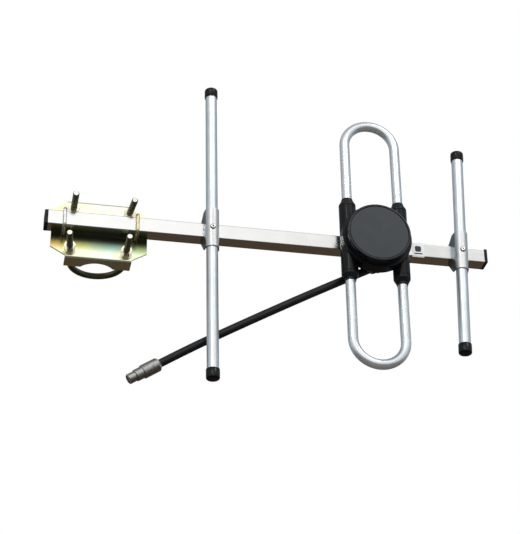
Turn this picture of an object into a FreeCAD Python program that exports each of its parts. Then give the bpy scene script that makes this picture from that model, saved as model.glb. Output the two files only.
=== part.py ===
import FreeCAD, Part
import math
import os

# Folded dipole antenna: a reflector, a folded dipole and a director on one square boom.
# Millimetres. The origin is on the axis of the mast that the clamp takes, level with the boom.
# +X runs forwards along the boom, +Y goes from the boom to the mast, and +Z is up.

V = FreeCAD.Vector

# Mast that the clamp takes
MAST_D = 48.3

# Boom, and where things sit along it
BOOM_SIDE = 20.0
BOOM_WALL = 1.5
BOOM_CORNER_R = 1.2
BOOM_PAST_PLATE = 5.5
MAST_TO_REFLECTOR = 139.0
REFLECTOR_TO_DIPOLE = 210.0
DIPOLE_TO_DIRECTOR = 116.4
FRONT_OVERHANG = 34.1

# Plugs in the boom's ends
PLUG_FLANGE_T = 4.5
PLUG_INSERT_LENGTH = 12.0
PLUG_WALL = 1.6
PLUG_EDGE_R = 0.9
PLUG_CLEARANCE = 0.1

# Straight elements, each turned a little on its rivet, with their push-on caps
ELEMENT_D = 15.0
ELEMENT_WALL = 1.0
REFLECTOR_TUBE_LENGTH = 421.5
DIRECTOR_TUBE_LENGTH = 298.6
ELEMENT_SEAT_CLEARANCE = 0.05
REFLECTOR_TILT_DEG = -0.5
DIRECTOR_TILT_DEG = 2.1
CAP_WALL = 1.0
CAP_END_T = 2.0
CAP_GRIP_LENGTH = 11.0
CAP_EDGE_R = 2.6
CAP_CLEARANCE = 0.05

# Pressed saddles that hold the straight elements on the boom
SADDLE_T = 1.4
SADDLE_HEIGHT = 55.0
SADDLE_DROP = 3.0
SADDLE_PLAY = 0.5
SADDLE_SPLAY_DEG = 7.0
SADDLE_SHOULDER = 6.0
SADDLE_EAR_REACH = 12.5
SADDLE_EAR_TIP = 2.6
SADDLE_CLEARANCE = 0.1

# Blind rivets through saddle, element and boom wall, a little under the boom's middle
RIVET_DROP = 3.5
RIVET_D = 4.0
RIVET_HEAD_D = 7.2
RIVET_HEAD_T = 0.7
RIVET_DOME_H = 1.1
RIVET_MANDREL_D = 2.0
RIVET_BULB_D = 6.4
RIVET_BULB_H = 3.0
RIVET_MANDREL_DEPTH = 9.0
RIVET_CLEARANCE = 0.1

# Folded dipole, one bent tube with a feed gap in its rear leg
LOOP_TUBE_D = 13.0
LOOP_TUBE_WALL = 1.25
LEG_SPACING = 67.7
LOOP_HEIGHT = 367.4
FEED_GAP = 18.0
LEG_CLEARANCE = 0.15

# Feed housing, a round body with a neck for the lid and a sleeve for each end of each leg
HOUSING_DROP = 2.7
BODY_R = 45.5
BODY_BACK_R = 37.5
BODY_CONE_DEPTH = 13.3
BODY_DEPTH = 27.0
BODY_EDGE = 0.8
NECK_R = 39.6
NECK_DEPTH = 34.5
HOUSING_WALL = 2.5
HOUSING_FLOOR = 3.0
SLEEVE_D = 22.0
SLEEVE_REACH = 48.5
SLEEVE_SEAT = 0.2
SLEEVE_EDGE = 0.5

# Rubber seals on the sleeve ends
SEAL_RING_H = 5.6
SEAL_TIER_H = 2.5
SEAL_TIER_WALL = 2.0
SEAL_LIP_H = 3.7
SEAL_LIP_WALL = 0.9
SEAL_SPIGOT_H = 7.0
SEAL_SPIGOT_WALL = 2.2
SEAL_CLEARANCE = 0.05

# Lid and its gasket
LID_WALL = 1.5
LID_T = 2.8
LID_GAP = 0.3
LID_EDGE_R = 2.2
LID_FACE_R = 38.6
LID_FACE_RECESS = 0.5
LID_CLEARANCE = 0.2
LID_NOTCH_W = 5.0
LID_NOTCH_DEPTH = 0.9
LID_NOTCH_DEG = 156.0
GASKET_T = 1.0

# Matching board on posts above the legs
BOARD_R = 33.0
BOARD_T = 1.6
POST_D = 6.0
POST_X = 8.0
POST_Z = 26.0
BOARD_SCREW_D = 2.2
BOARD_SCREW_LENGTH = 9.0
BOARD_SCREW_HEAD_D = 5.0
BOARD_SCREW_HEAD_H = 1.8

# Straps from the ends of the cut leg to the board
STRAP_T = 1.0
STRAP_W = 7.0
STRAP_LENGTH = 17.0
STRAP_FROM_GAP = 7.0
STRAP_SEAT = 0.05
STRAP_POCKET_CLEARANCE = 0.4
STRAP_SCREW_D = 3.0
STRAP_SCREW_HEAD_D = 5.4
STRAP_SCREW_HEAD_H = 1.6
STRAP_SCREW_LENGTH = 5.0
STRAP_END_MARGIN = 3.4

# Half-wave line of thin coax, laid round the housing's floor
LINE_D = 3.6
LINE_RING_R = 18.0
LINE_ARC_DEG = 300.0

# Screws from the housing's floor into the boom's front wall
HOUSING_SCREW_X = 10.0
HOUSING_SCREW_D = 3.9
HOUSING_SCREW_HEAD_D = 7.6
HOUSING_SCREW_HEAD_H = 2.4
HOUSING_SCREW_LENGTH = 11.0
SCREW_CLEARANCE = 0.1

# Cable outlet under the boom, with its gland
CABLE_D = 10.3
CABLE_CLEARANCE = 0.15
OUTLET_D = 18.0
OUTLET_LENGTH = 16.0
OUTLET_END_T = 2.0
OUTLET_SEAT_DEPTH = 9.0
GLAND_HEAD_H = 8.0
GLAND_HEX = 14.0
GLAND_SPIGOT_D = 14.0
GLAND_SPIGOT_H = 4.0
GLAND_EDGE = 0.7
GLAND_SEAL_H = 4.6
GLAND_CLEARANCE = 0.1

# Stripped inner end of the cable
JACKET_LENGTH = 15.0
DIELECTRIC_D = 7.2
DIELECTRIC_LENGTH = 3.4
CORE_D = 2.7

# Route of the cable from the gland's outer face to the back of its connector
CABLE_ROUTE = [
    (347.4, -46.7, -30.9),
    (285.0, -46.4, -65.0),
    (215.0, -46.0, -105.1),
    (150.0, -45.6, -143.4),
    (110.0, -45.3, -167.9),
    (77.9, -45.1, -188.8),
]
ROUTE_ARC_SHARE = 0.45

# Screw-on coaxial connector
CONNECTOR_D = 17.4
CONNECTOR_NUT_LENGTH = 12.0
CONNECTOR_SHELL_LENGTH = 12.0
CONNECTOR_NECK_D = 15.0
CONNECTOR_NECK_LENGTH = 10.0
CONNECTOR_GROOVE_D = 11.4
CONNECTOR_GROOVE_LENGTH = 1.2
CONNECTOR_END_D = 12.7
CONNECTOR_END_LENGTH = 8.8
CONNECTOR_EDGE = 0.6
CONNECTOR_REAR_EDGE = 1.2
CONNECTOR_BORE_D = 9.2
CONNECTOR_BORE_DEPTH = 11.0
CONNECTOR_INSULATOR_D = 6.0
CONNECTOR_INSULATOR_RECESS = 4.0
CONNECTOR_CONTACT_D = 2.6
CONNECTOR_CONTACT_RECESS = 1.5
CONNECTOR_CONTACT_LENGTH = 7.0

# Clamp plate behind the boom, with its edges bent back to the mast
PLATE_WIDTH = 121.0
PLATE_HEIGHT = 83.0
PLATE_T = 2.5
PLATE_DROP = 3.5
PLATE_CHAMFER_X = 18.8
PLATE_CHAMFER_Z = 11.0
PLATE_BEND_R = 0.8
FLANGE_DEPTH = 21.5
NOTCH_DEPTH = 11.0

# Mast U-bolts, opened a little where they have been drawn up, and askew in their holes
MAST_BOLT_D = 8.0
MAST_BOLT_SPACING_X = 70.0
MAST_BOLT_SPACING_Z = 55.5
MAST_BOLT_DROP = 5.25
MAST_BOLT_SPLAY_DEG = 2.6
MAST_BOLT_TURN_DEG = 2.4
MAST_BOLT_PIVOT_Y = -13.3
MAST_BOLT_REACH = 41.5
MAST_BOLT_SEAT = 0.1
MAST_BOLT_EDGE = 0.9
MAST_HOLE_CLEARANCE = 1.2
MAST_STACK_CLEARANCE = 0.02
MAST_NUT_AF = 13.0
MAST_NUT_H = 6.5
MAST_NUT_EDGE = 0.9
MAST_WASHER_D = 16.0
MAST_WASHER_T = 1.6
MAST_SPRING_D = 13.6
MAST_SPRING_T = 2.0
THREAD_CLEARANCE = 0.25

# Boom U-bolts
BOOM_BOLT_D = 5.0
BOOM_BOLT_SPACING = 91.0
BOOM_BOLT_CLEARANCE = 0.2
BOOM_BOLT_TAIL = 9.0
BOOM_BOLT_EDGE = 0.6
BOOM_NUT_AF = 8.0
BOOM_NUT_H = 4.7
BOOM_NUT_EDGE = 0.6
BOOM_WASHER_D = 10.0
BOOM_WASHER_T = 1.0

# Worked out from the sizes above
MAST_R = MAST_D / 2
PLATE_FRONT_Y = -(MAST_R + FLANGE_DEPTH - NOTCH_DEPTH)
PLATE_BACK_Y = PLATE_FRONT_Y + PLATE_T
BOOM_Y = PLATE_FRONT_Y - BOOM_SIDE / 2
BOOM_FRONT_Y = PLATE_FRONT_Y - BOOM_SIDE
BOOM_REAR_X = -(PLATE_WIDTH / 2 + BOOM_PAST_PLATE)
REFLECTOR_X = MAST_TO_REFLECTOR
DIPOLE_X = REFLECTOR_X + REFLECTOR_TO_DIPOLE
DIRECTOR_X = DIPOLE_X + DIPOLE_TO_DIRECTOR
BOOM_FRONT_X = DIRECTOR_X + FRONT_OVERHANG
ELEMENT_R = ELEMENT_D / 2
ELEMENT_Y = BOOM_FRONT_Y - ELEMENT_R - ELEMENT_SEAT_CLEARANCE
RIVET_Z = -RIVET_DROP
LEG_R = LOOP_TUBE_D / 2
SLEEVE_R = SLEEVE_D / 2
LEG_Y = BOOM_FRONT_Y - SLEEVE_R - SLEEVE_SEAT
REAR_LEG_X = DIPOLE_X - LEG_SPACING / 2
FRONT_LEG_X = DIPOLE_X + LEG_SPACING / 2
HOUSING_Z = -HOUSING_DROP
NECK_FRONT_Y = BOOM_FRONT_Y - NECK_DEPTH
FLOOR_Y = BOOM_FRONT_Y - HOUSING_FLOOR
LID_BACK_Y = NECK_FRONT_Y - GASKET_T
LID_FRONT_Y = LID_BACK_Y - LID_T
LID_OUTER_R = NECK_R + LID_CLEARANCE + LID_WALL
LID_SKIRT_LENGTH = BOOM_FRONT_Y - BODY_DEPTH - LID_GAP - LID_BACK_Y
STRAP_BACK_Y = LEG_Y - LEG_R - STRAP_SEAT
BOARD_BACK_Y = STRAP_BACK_Y - STRAP_T
BOARD_FRONT_Y = BOARD_BACK_Y - BOARD_T
STRAP_Z = FEED_GAP / 2 + STRAP_FROM_GAP
UP = V(0, 0, 1)
FORWARD = V(1, 0, 0)
TO_MAST = V(0, 1, 0)
TO_VIEWER = V(0, -1, 0)


def save(shape, name):
    """Write one sub-part."""
    shape.exportStep("parts/" + name + ".step")


def rod(diameter, length, start, direction):
    """Round bar from start along direction."""
    return Part.makeCylinder(diameter / 2, length, start, direction)


def block(low, high):
    """Box between two corners."""
    return Part.makeBox(high.x - low.x, high.y - low.y, high.z - low.z, low)


def ring(outer_d, inner_d, length, start, direction):
    """Plain tube or washer."""
    outer = rod(outer_d, length, start, direction)
    return outer.cut(rod(inner_d, length, start, direction))


def turned(profile, start, direction):
    """Solid of revolution of (radius, height) points, set on start along direction."""
    points = [V(radius, 0, height) for radius, height in profile]
    face = Part.Face(Part.makePolygon(points + [points[0]]))
    solid = face.revolve(V(0, 0, 0), UP, 360)
    solid.Placement = FreeCAD.Placement(start, FreeCAD.Rotation(UP, direction))
    return solid


def hex_nut(across_flats, height, bore_d, edge, start, direction):
    """Hexagon nut with turned corners on both faces."""
    corner = across_flats / math.sqrt(3)
    angles = [math.radians(60 * k) for k in range(7)]
    outline = [V(corner * math.cos(a), corner * math.sin(a), 0) for a in angles]
    prism = Part.Face(Part.makePolygon(outline)).extrude(V(0, 0, height))
    prism.Placement = FreeCAD.Placement(start, FreeCAD.Rotation(UP, direction))
    rounder = turned(
        [
            (0, 0),
            (corner - edge, 0),
            (corner, edge / 2),
            (corner, height - edge / 2),
            (corner - edge, height),
            (0, height),
        ],
        start,
        direction,
    )
    return prism.common(rounder).cut(rod(bore_d, height, start, direction))


def swept(edges, diameter, start, direction):
    """Round bar along a wire that starts at start in direction."""
    path = Part.Wire(edges)
    circle = Part.Wire([Part.makeCircle(diameter / 2, start, direction)])
    return path.makePipeShell([circle], True, True)


def line(start, end):
    return Part.LineSegment(start, end).toShape()


def arc(start, middle, end):
    return Part.Arc(start, middle, end).toShape()


def boom_tube():
    """Square tube with rivet holes and housing screw holes in its front wall."""
    length = BOOM_FRONT_X - BOOM_REAR_X
    half = BOOM_SIDE / 2
    outer = Part.makeBox(length, BOOM_SIDE, BOOM_SIDE, V(BOOM_REAR_X, BOOM_FRONT_Y, -half))
    long_edges = [e for e in outer.Edges if abs(e.Length - length) < BOOM_WALL]
    outer = outer.makeFillet(BOOM_CORNER_R, long_edges)
    bore = BOOM_SIDE - 2 * BOOM_WALL
    inner_low = V(BOOM_REAR_X, BOOM_FRONT_Y + BOOM_WALL, -bore / 2)
    tube = outer.cut(Part.makeBox(length, bore, bore, inner_low))
    for x in (REFLECTOR_X, DIRECTOR_X):
        hole_d = RIVET_D + 2 * RIVET_CLEARANCE
        tube = tube.cut(rod(hole_d, 2 * BOOM_WALL, V(x, BOOM_FRONT_Y - BOOM_WALL / 2, RIVET_Z), TO_MAST))
    for side in (-1, 1):
        x = DIPOLE_X + side * HOUSING_SCREW_X
        hole_d = HOUSING_SCREW_D + 2 * SCREW_CLEARANCE
        tube = tube.cut(rod(hole_d, 2 * BOOM_WALL, V(x, BOOM_FRONT_Y - BOOM_WALL / 2, 0), TO_MAST))
    return tube


def boom_plug(end_x, outwards):
    """Plug with a square flange over the boom's end and a hollow insert inside it."""
    half = BOOM_SIDE / 2
    flange = Part.makeBox(PLUG_FLANGE_T, BOOM_SIDE, BOOM_SIDE, V(0, -half, -half))
    outer_edges = [e for e in flange.Edges if e.BoundBox.XMax > PLUG_FLANGE_T / 2]
    flange = flange.makeFillet(PLUG_EDGE_R, outer_edges)
    insert = BOOM_SIDE - 2 * BOOM_WALL - 2 * PLUG_CLEARANCE
    body = Part.makeBox(PLUG_INSERT_LENGTH, insert, insert, V(-PLUG_INSERT_LENGTH, -insert / 2, -insert / 2))
    hollow = insert - 2 * PLUG_WALL
    pocket = Part.makeBox(PLUG_INSERT_LENGTH, hollow, hollow, V(-PLUG_INSERT_LENGTH, -hollow / 2, -hollow / 2))
    plug = flange.fuse(body.cut(pocket)).removeSplitter()
    turn = 0 if outwards > 0 else 180
    plug.Placement = FreeCAD.Placement(V(end_x, BOOM_Y, 0), FreeCAD.Rotation(UP, turn))
    return plug


def element_tube(x, length):
    """Round tube upright on the boom's front face, drilled through for its rivet."""
    tube = ring(ELEMENT_D, ELEMENT_D - 2 * ELEMENT_WALL, length, V(x, ELEMENT_Y, -length / 2), UP)
    drill = rod(RIVET_D + 2 * RIVET_CLEARANCE, 2 * ELEMENT_D, V(x, ELEMENT_Y - ELEMENT_D, RIVET_Z), TO_MAST)
    return tube.cut(drill)


def element_cap(x, tube_length, side):
    """Push-on cap with a rounded closed end."""
    outer_d = ELEMENT_D + 2 * CAP_WALL + 2 * CAP_CLEARANCE
    height = CAP_GRIP_LENGTH + CAP_END_T
    mouth_z = side * (tube_length / 2 - CAP_GRIP_LENGTH)
    outwards = V(0, 0, side)
    cap = rod(outer_d, height, V(x, ELEMENT_Y, mouth_z), outwards)
    closed_z = mouth_z + side * height
    end_edges = [e for e in cap.Edges if abs(e.BoundBox.ZMin - closed_z) + abs(e.BoundBox.ZMax - closed_z) < 0.1]
    cap = cap.makeFillet(CAP_EDGE_R, end_edges)
    return cap.cut(rod(ELEMENT_D + 2 * CAP_CLEARANCE, CAP_GRIP_LENGTH, V(x, ELEMENT_Y, mouth_z), outwards))


def saddle_outline(outer_r, back_y):
    """Half-round front with cheeks that splay as they go back, seen from above."""
    splay = math.radians(SADDLE_SPLAY_DEG)
    tangent_x = outer_r * math.cos(splay)
    tangent_y = -outer_r * math.sin(splay)
    back_x = tangent_x + (back_y - tangent_y) * math.tan(splay)
    left_back = V(-back_x, back_y, 0)
    left_tangent = V(-tangent_x, tangent_y, 0)
    right_tangent = V(tangent_x, tangent_y, 0)
    right_back = V(back_x, back_y, 0)
    return Part.Wire(
        [
            line(left_back, left_tangent),
            arc(left_tangent, V(0, -outer_r, 0), right_tangent),
            line(right_tangent, right_back),
            line(right_back, left_back),
        ]
    )


def saddle_side(x):
    """Side view of the saddle: full height at the tube, then ears that taper over the boom."""
    top = SADDLE_HEIGHT / 2 - SADDLE_DROP
    bottom = -SADDLE_HEIGHT / 2 - SADDLE_DROP
    front_y = ELEMENT_Y - ELEMENT_D
    shoulder_y = ELEMENT_Y + SADDLE_SHOULDER - SADDLE_CLEARANCE
    tip_y = BOOM_FRONT_Y + SADDLE_EAR_REACH
    slot = BOOM_SIDE / 2 + SADDLE_PLAY
    slot_y = BOOM_FRONT_Y - SADDLE_CLEARANCE
    ear_z = slot + SADDLE_EAR_TIP
    points = [
        V(x, front_y, bottom),
        V(x, shoulder_y, bottom),
        V(x, tip_y, -ear_z),
        V(x, tip_y, -slot),
        V(x, slot_y, -slot),
        V(x, slot_y, slot),
        V(x, tip_y, slot),
        V(x, tip_y, ear_z),
        V(x, shoulder_y, top),
        V(x, front_y, top),
    ]
    return Part.Face(Part.makePolygon(points + [points[0]]))


def element_saddle(x):
    """Sheet bracket wrapped round the tube, with its ears over and under the boom."""
    inner_r = ELEMENT_R + SADDLE_CLEARANCE
    outer_r = inner_r + SADDLE_T
    back_y = BOOM_FRONT_Y + SADDLE_EAR_REACH - ELEMENT_Y
    outer = Part.Face(saddle_outline(outer_r, back_y)).extrude(V(0, 0, SADDLE_HEIGHT))
    inner = Part.Face(saddle_outline(inner_r, back_y)).extrude(V(0, 0, SADDLE_HEIGHT))
    sheet = outer.cut(inner)
    sheet.translate(V(x, ELEMENT_Y, -SADDLE_HEIGHT / 2 - SADDLE_DROP))
    width = 4 * outer_r
    sheet = sheet.common(saddle_side(x - width / 2).extrude(V(width, 0, 0)))
    drill_d = RIVET_D + 2 * RIVET_CLEARANCE
    return sheet.cut(rod(drill_d, 2 * ELEMENT_D, V(x, ELEMENT_Y - 2 * ELEMENT_D, RIVET_Z), TO_MAST))


def element_rivet(x):
    """Blind rivet: domed head on the saddle, body to the boom's wall, bulb behind it."""
    saddle_r = ELEMENT_R + SADDLE_CLEARANCE + SADDLE_T
    front_y = ELEMENT_Y - saddle_r
    shaft_length = BOOM_FRONT_Y + BOOM_WALL - front_y
    shaft = rod(RIVET_D, shaft_length, V(x, front_y, RIVET_Z), TO_MAST)
    head_r = RIVET_HEAD_D / 2
    skirt = saddle_r - math.sqrt(saddle_r * saddle_r - head_r * head_r)
    rim_y = front_y - RIVET_HEAD_T
    head = rod(RIVET_HEAD_D, RIVET_HEAD_T + skirt, V(x, rim_y, RIVET_Z), TO_MAST)
    head = head.cut(rod(2 * saddle_r, RIVET_HEAD_D, V(x, ELEMENT_Y, RIVET_Z - head_r), UP))
    dome_r = (head_r * head_r + RIVET_DOME_H * RIVET_DOME_H) / (2 * RIVET_DOME_H)
    ball = Part.makeSphere(dome_r, V(x, rim_y - RIVET_DOME_H + dome_r, RIVET_Z))
    dome = ball.common(rod(RIVET_HEAD_D, RIVET_DOME_H, V(x, rim_y, RIVET_Z), TO_VIEWER))
    bulb = rod(RIVET_BULB_D, RIVET_BULB_H, V(x, BOOM_FRONT_Y + BOOM_WALL, RIVET_Z), TO_MAST)
    body = shaft.fuse([head, dome, bulb]).removeSplitter()
    top_y = rim_y - RIVET_DOME_H
    return body.cut(rod(RIVET_MANDREL_D, RIVET_MANDREL_DEPTH, V(x, top_y, RIVET_Z), TO_MAST))


def dipole_path():
    """Centre line of the loop, from one side of the feed gap round to the other."""
    bend_r = LEG_SPACING / 2
    straight = (LOOP_HEIGHT - LOOP_TUBE_D) / 2 - bend_r
    apex = straight + bend_r
    gap = FEED_GAP / 2
    low_rear = V(REAR_LEG_X, LEG_Y, -straight)
    low_front = V(FRONT_LEG_X, LEG_Y, -straight)
    high_front = V(FRONT_LEG_X, LEG_Y, straight)
    high_rear = V(REAR_LEG_X, LEG_Y, straight)
    return [
        line(V(REAR_LEG_X, LEG_Y, -gap), low_rear),
        arc(low_rear, V(DIPOLE_X, LEG_Y, -apex), low_front),
        line(low_front, high_front),
        arc(high_front, V(DIPOLE_X, LEG_Y, apex), high_rear),
        line(high_rear, V(REAR_LEG_X, LEG_Y, gap)),
    ]


def dipole_loop():
    """Bent tube with pilot holes for the strap screws beside the gap."""
    start = V(REAR_LEG_X, LEG_Y, -FEED_GAP / 2)
    outer = swept(dipole_path(), LOOP_TUBE_D, start, V(0, 0, -1))
    inner = swept(dipole_path(), LOOP_TUBE_D - 2 * LOOP_TUBE_WALL, start, V(0, 0, -1))
    loop = outer.cut(inner)
    for side in (-1, 1):
        hole_d = STRAP_SCREW_D + 2 * SCREW_CLEARANCE
        loop = loop.cut(rod(hole_d, LEG_R, V(REAR_LEG_X, LEG_Y, side * STRAP_Z), TO_VIEWER))
    return loop


def leg_seal(x, side):
    """Rubber ring, tier and lip on a sleeve's end, with a spigot inside the sleeve."""
    bore_r = LEG_R + SEAL_CLEARANCE
    ring_r = SLEEVE_R
    tier_r = bore_r + SEAL_TIER_WALL
    lip_r = bore_r + SEAL_LIP_WALL
    spigot_r = bore_r + SEAL_SPIGOT_WALL
    ring_top = SEAL_RING_H
    tier_top = ring_top + SEAL_TIER_H
    lip_top = tier_top + SEAL_LIP_H
    profile = [
        (bore_r, -SEAL_SPIGOT_H),
        (spigot_r, -SEAL_SPIGOT_H),
        (spigot_r, 0),
        (ring_r - SLEEVE_EDGE, 0),
        (ring_r, SLEEVE_EDGE),
        (ring_r, ring_top - SLEEVE_EDGE),
        (ring_r - SLEEVE_EDGE, ring_top),
        (tier_r, ring_top),
        (tier_r, tier_top - SLEEVE_EDGE),
        (tier_r - SLEEVE_EDGE, tier_top),
        (lip_r, tier_top),
        (lip_r, lip_top),
        (bore_r, lip_top),
    ]
    return turned(profile, V(x, LEG_Y, HOUSING_Z + side * SLEEVE_REACH), V(0, 0, side))


def outlet_axis():
    """Point on the gland's outer face, and the direction into the housing."""
    exit_point = V(*CABLE_ROUTE[0])
    inwards = exit_point - V(*CABLE_ROUTE[1])
    inwards.normalize()
    return exit_point, inwards


def along_outlet(distance):
    """Point on the outlet's axis, that far inside the gland's outer face."""
    exit_point, inwards = outlet_axis()
    return exit_point + inwards * distance


def sleeve_parts():
    """Outer bodies and bores of the two leg sleeves."""
    bodies = []
    bores = []
    for x in (REAR_LEG_X, FRONT_LEG_X):
        low = V(x, LEG_Y, HOUSING_Z - SLEEVE_REACH)
        body = rod(SLEEVE_D, 2 * SLEEVE_REACH, low, UP)
        body = body.makeChamfer(SLEEVE_EDGE, [e for e in body.Edges if e.Closed])
        bodies.append(body)
        bores.append(rod(LOOP_TUBE_D + 2 * LEG_CLEARANCE, 2 * SLEEVE_REACH, low, UP))
        seat_d = LOOP_TUBE_D + 2 * SEAL_CLEARANCE + 2 * SEAL_SPIGOT_WALL + 2 * LEG_CLEARANCE
        seat_h = SEAL_SPIGOT_H + LEG_CLEARANCE
        bores.append(rod(seat_d, seat_h, low, UP))
        bores.append(rod(seat_d, seat_h, V(x, LEG_Y, HOUSING_Z + SLEEVE_REACH), V(0, 0, -1)))
    return bodies, bores


def housing_body():
    """Outside of the round body: a cone at the back, a rim, and the lid's neck in front."""
    profile = [
        (0, 0),
        (BODY_BACK_R, 0),
        (BODY_R, BODY_CONE_DEPTH),
        (BODY_R, BODY_DEPTH - BODY_EDGE),
        (BODY_R - BODY_EDGE, BODY_DEPTH),
        (NECK_R, BODY_DEPTH),
        (NECK_R, NECK_DEPTH),
        (0, NECK_DEPTH),
    ]
    return turned(profile, V(DIPOLE_X, BOOM_FRONT_Y, HOUSING_Z), TO_VIEWER)


def housing_cavity():
    """Space inside the round body, open at the neck."""
    profile = [
        (0, HOUSING_FLOOR),
        (BODY_BACK_R - HOUSING_WALL, HOUSING_FLOOR),
        (BODY_R - HOUSING_WALL, BODY_CONE_DEPTH),
        (BODY_R - HOUSING_WALL, BODY_DEPTH - HOUSING_WALL),
        (NECK_R - HOUSING_WALL, BODY_DEPTH - HOUSING_WALL),
        (NECK_R - HOUSING_WALL, NECK_DEPTH),
        (0, NECK_DEPTH),
    ]
    return turned(profile, V(DIPOLE_X, BOOM_FRONT_Y, HOUSING_Z), TO_VIEWER)


def housing_openings():
    """Space inside the housing, its screw holes, and the cable's way in from the outlet."""
    cuts = [housing_cavity()]
    for side in (-1, 1):
        x = DIPOLE_X + side * HOUSING_SCREW_X
        hole_d = HOUSING_SCREW_D + 2 * SCREW_CLEARANCE
        cuts.append(rod(hole_d, HOUSING_FLOOR, V(x, BOOM_FRONT_Y, 0), TO_VIEWER))
    exit_point, inwards = outlet_axis()
    mouth = along_outlet(GLAND_HEAD_H)
    seat_d = GLAND_SPIGOT_D + 2 * GLAND_CLEARANCE
    channel_length = OUTLET_LENGTH - OUTLET_END_T
    cuts.append(rod(seat_d, OUTLET_SEAT_DEPTH, mouth, inwards))
    cuts.append(rod(CABLE_D + 2 * CABLE_CLEARANCE, channel_length, mouth, inwards))
    tap = along_outlet(JACKET_LENGTH + DIELECTRIC_LENGTH + CORE_D / 2)
    cuts.append(rod(2 * CORE_D, tap.y - FLOOR_Y, tap, TO_VIEWER))
    return cuts


def strap_pockets():
    """Room in the sleeve's wall for each strap and for the head of its screw."""
    half = STRAP_W / 2 + STRAP_POCKET_CLEARANCE
    front_y = BOARD_BACK_Y - STRAP_SCREW_HEAD_H - STRAP_POCKET_CLEARANCE
    pockets = []
    for side in (-1, 1):
        z = side * STRAP_Z
        pockets.append(block(V(REAR_LEG_X - half, front_y, z - half), V(DIPOLE_X - POST_X, LEG_Y, z + half)))
    return pockets


def feed_housing():
    """Body, sleeves, board posts and cable outlet, moulded in one."""
    bodies, bores = sleeve_parts()
    inwards = outlet_axis()[1]
    outlet = rod(OUTLET_D, OUTLET_LENGTH, along_outlet(GLAND_HEAD_H), inwards)
    housing = housing_body().fuse(bodies + [outlet])
    housing = housing.cut(housing_openings() + strap_pockets())
    posts = []
    for x_side in (-1, 1):
        for z_side in (-1, 1):
            foot = V(DIPOLE_X + x_side * POST_X, BOOM_FRONT_Y, z_side * POST_Z)
            posts.append(rod(POST_D, BOOM_FRONT_Y - BOARD_BACK_Y, foot, TO_VIEWER))
    housing = housing.fuse(posts).cut(bores)
    pilots = []
    for x_side in (-1, 1):
        for z_side in (-1, 1):
            top = V(DIPOLE_X + x_side * POST_X, BOARD_BACK_Y, z_side * POST_Z)
            pilots.append(rod(BOARD_SCREW_D + 2 * SCREW_CLEARANCE, BOARD_SCREW_LENGTH, top, TO_MAST))
    return housing.cut(pilots).removeSplitter()


def lid_gasket():
    """Flat ring between the neck's rim and the lid."""
    inner_d = 2 * (NECK_R - HOUSING_WALL)
    return ring(2 * NECK_R, inner_d, GASKET_T, V(DIPOLE_X, NECK_FRONT_Y, HOUSING_Z), TO_VIEWER)


def feed_lid():
    """Round lid with a skirt over the neck, a recessed face and two tool notches."""
    back_y = LID_BACK_Y + LID_SKIRT_LENGTH
    height = back_y - LID_FRONT_Y
    lid = rod(2 * LID_OUTER_R, height, V(DIPOLE_X, back_y, HOUSING_Z), TO_VIEWER)
    front_edges = [e for e in lid.Edges if abs(e.BoundBox.YMax - LID_FRONT_Y) < 0.1]
    lid = lid.makeFillet(LID_EDGE_R, front_edges)
    inside_d = 2 * (NECK_R + LID_CLEARANCE)
    lid = lid.cut(rod(inside_d, LID_SKIRT_LENGTH, V(DIPOLE_X, back_y, HOUSING_Z), TO_VIEWER))
    face_at = V(DIPOLE_X, LID_FRONT_Y + LID_FACE_RECESS, HOUSING_Z)
    lid = lid.cut(rod(2 * LID_FACE_R, LID_FACE_RECESS, face_at, TO_VIEWER))
    notch = Part.makeBox(
        LID_NOTCH_DEPTH,
        height,
        LID_NOTCH_W,
        V(LID_OUTER_R - LID_NOTCH_DEPTH, -height, -LID_NOTCH_W / 2),
    )
    for turn in (0, 180):
        cutter = notch.copy()
        cutter.rotate(V(0, 0, 0), TO_VIEWER, LID_NOTCH_DEG + turn)
        cutter.translate(V(DIPOLE_X, back_y, HOUSING_Z))
        lid = lid.cut(cutter)
    return lid


def matching_board():
    """Round circuit board on the posts, drilled for its screws and for the core."""
    board = rod(2 * BOARD_R, BOARD_T, V(DIPOLE_X, BOARD_BACK_Y, 0), TO_VIEWER)
    holes = []
    for x_side in (-1, 1):
        for z_side in (-1, 1):
            at = V(DIPOLE_X + x_side * POST_X, BOARD_BACK_Y, z_side * POST_Z)
            holes.append(rod(BOARD_SCREW_D + 2 * SCREW_CLEARANCE, BOARD_T, at, TO_VIEWER))
    for side in (-1, 1):
        at = V(strap_end_x(), BOARD_BACK_Y, side * STRAP_Z)
        holes.append(rod(STRAP_SCREW_D + 2 * SCREW_CLEARANCE, BOARD_T, at, TO_VIEWER))
    return board.cut(holes)


def board_screws():
    """Four screws that hold the board on its posts."""
    screws = []
    for x_side in (-1, 1):
        for z_side in (-1, 1):
            seat = V(DIPOLE_X + x_side * POST_X, BOARD_FRONT_Y, z_side * POST_Z)
            head = rod(BOARD_SCREW_HEAD_D, BOARD_SCREW_HEAD_H, seat, TO_VIEWER)
            shank = rod(BOARD_SCREW_D, BOARD_SCREW_LENGTH, seat, TO_MAST)
            screws.append(head.fuse(shank).removeSplitter())
    return Part.makeCompound(screws)


def strap_end_x():
    """Where a strap is screwed to the board."""
    return REAR_LEG_X + STRAP_LENGTH - STRAP_END_MARGIN


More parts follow.
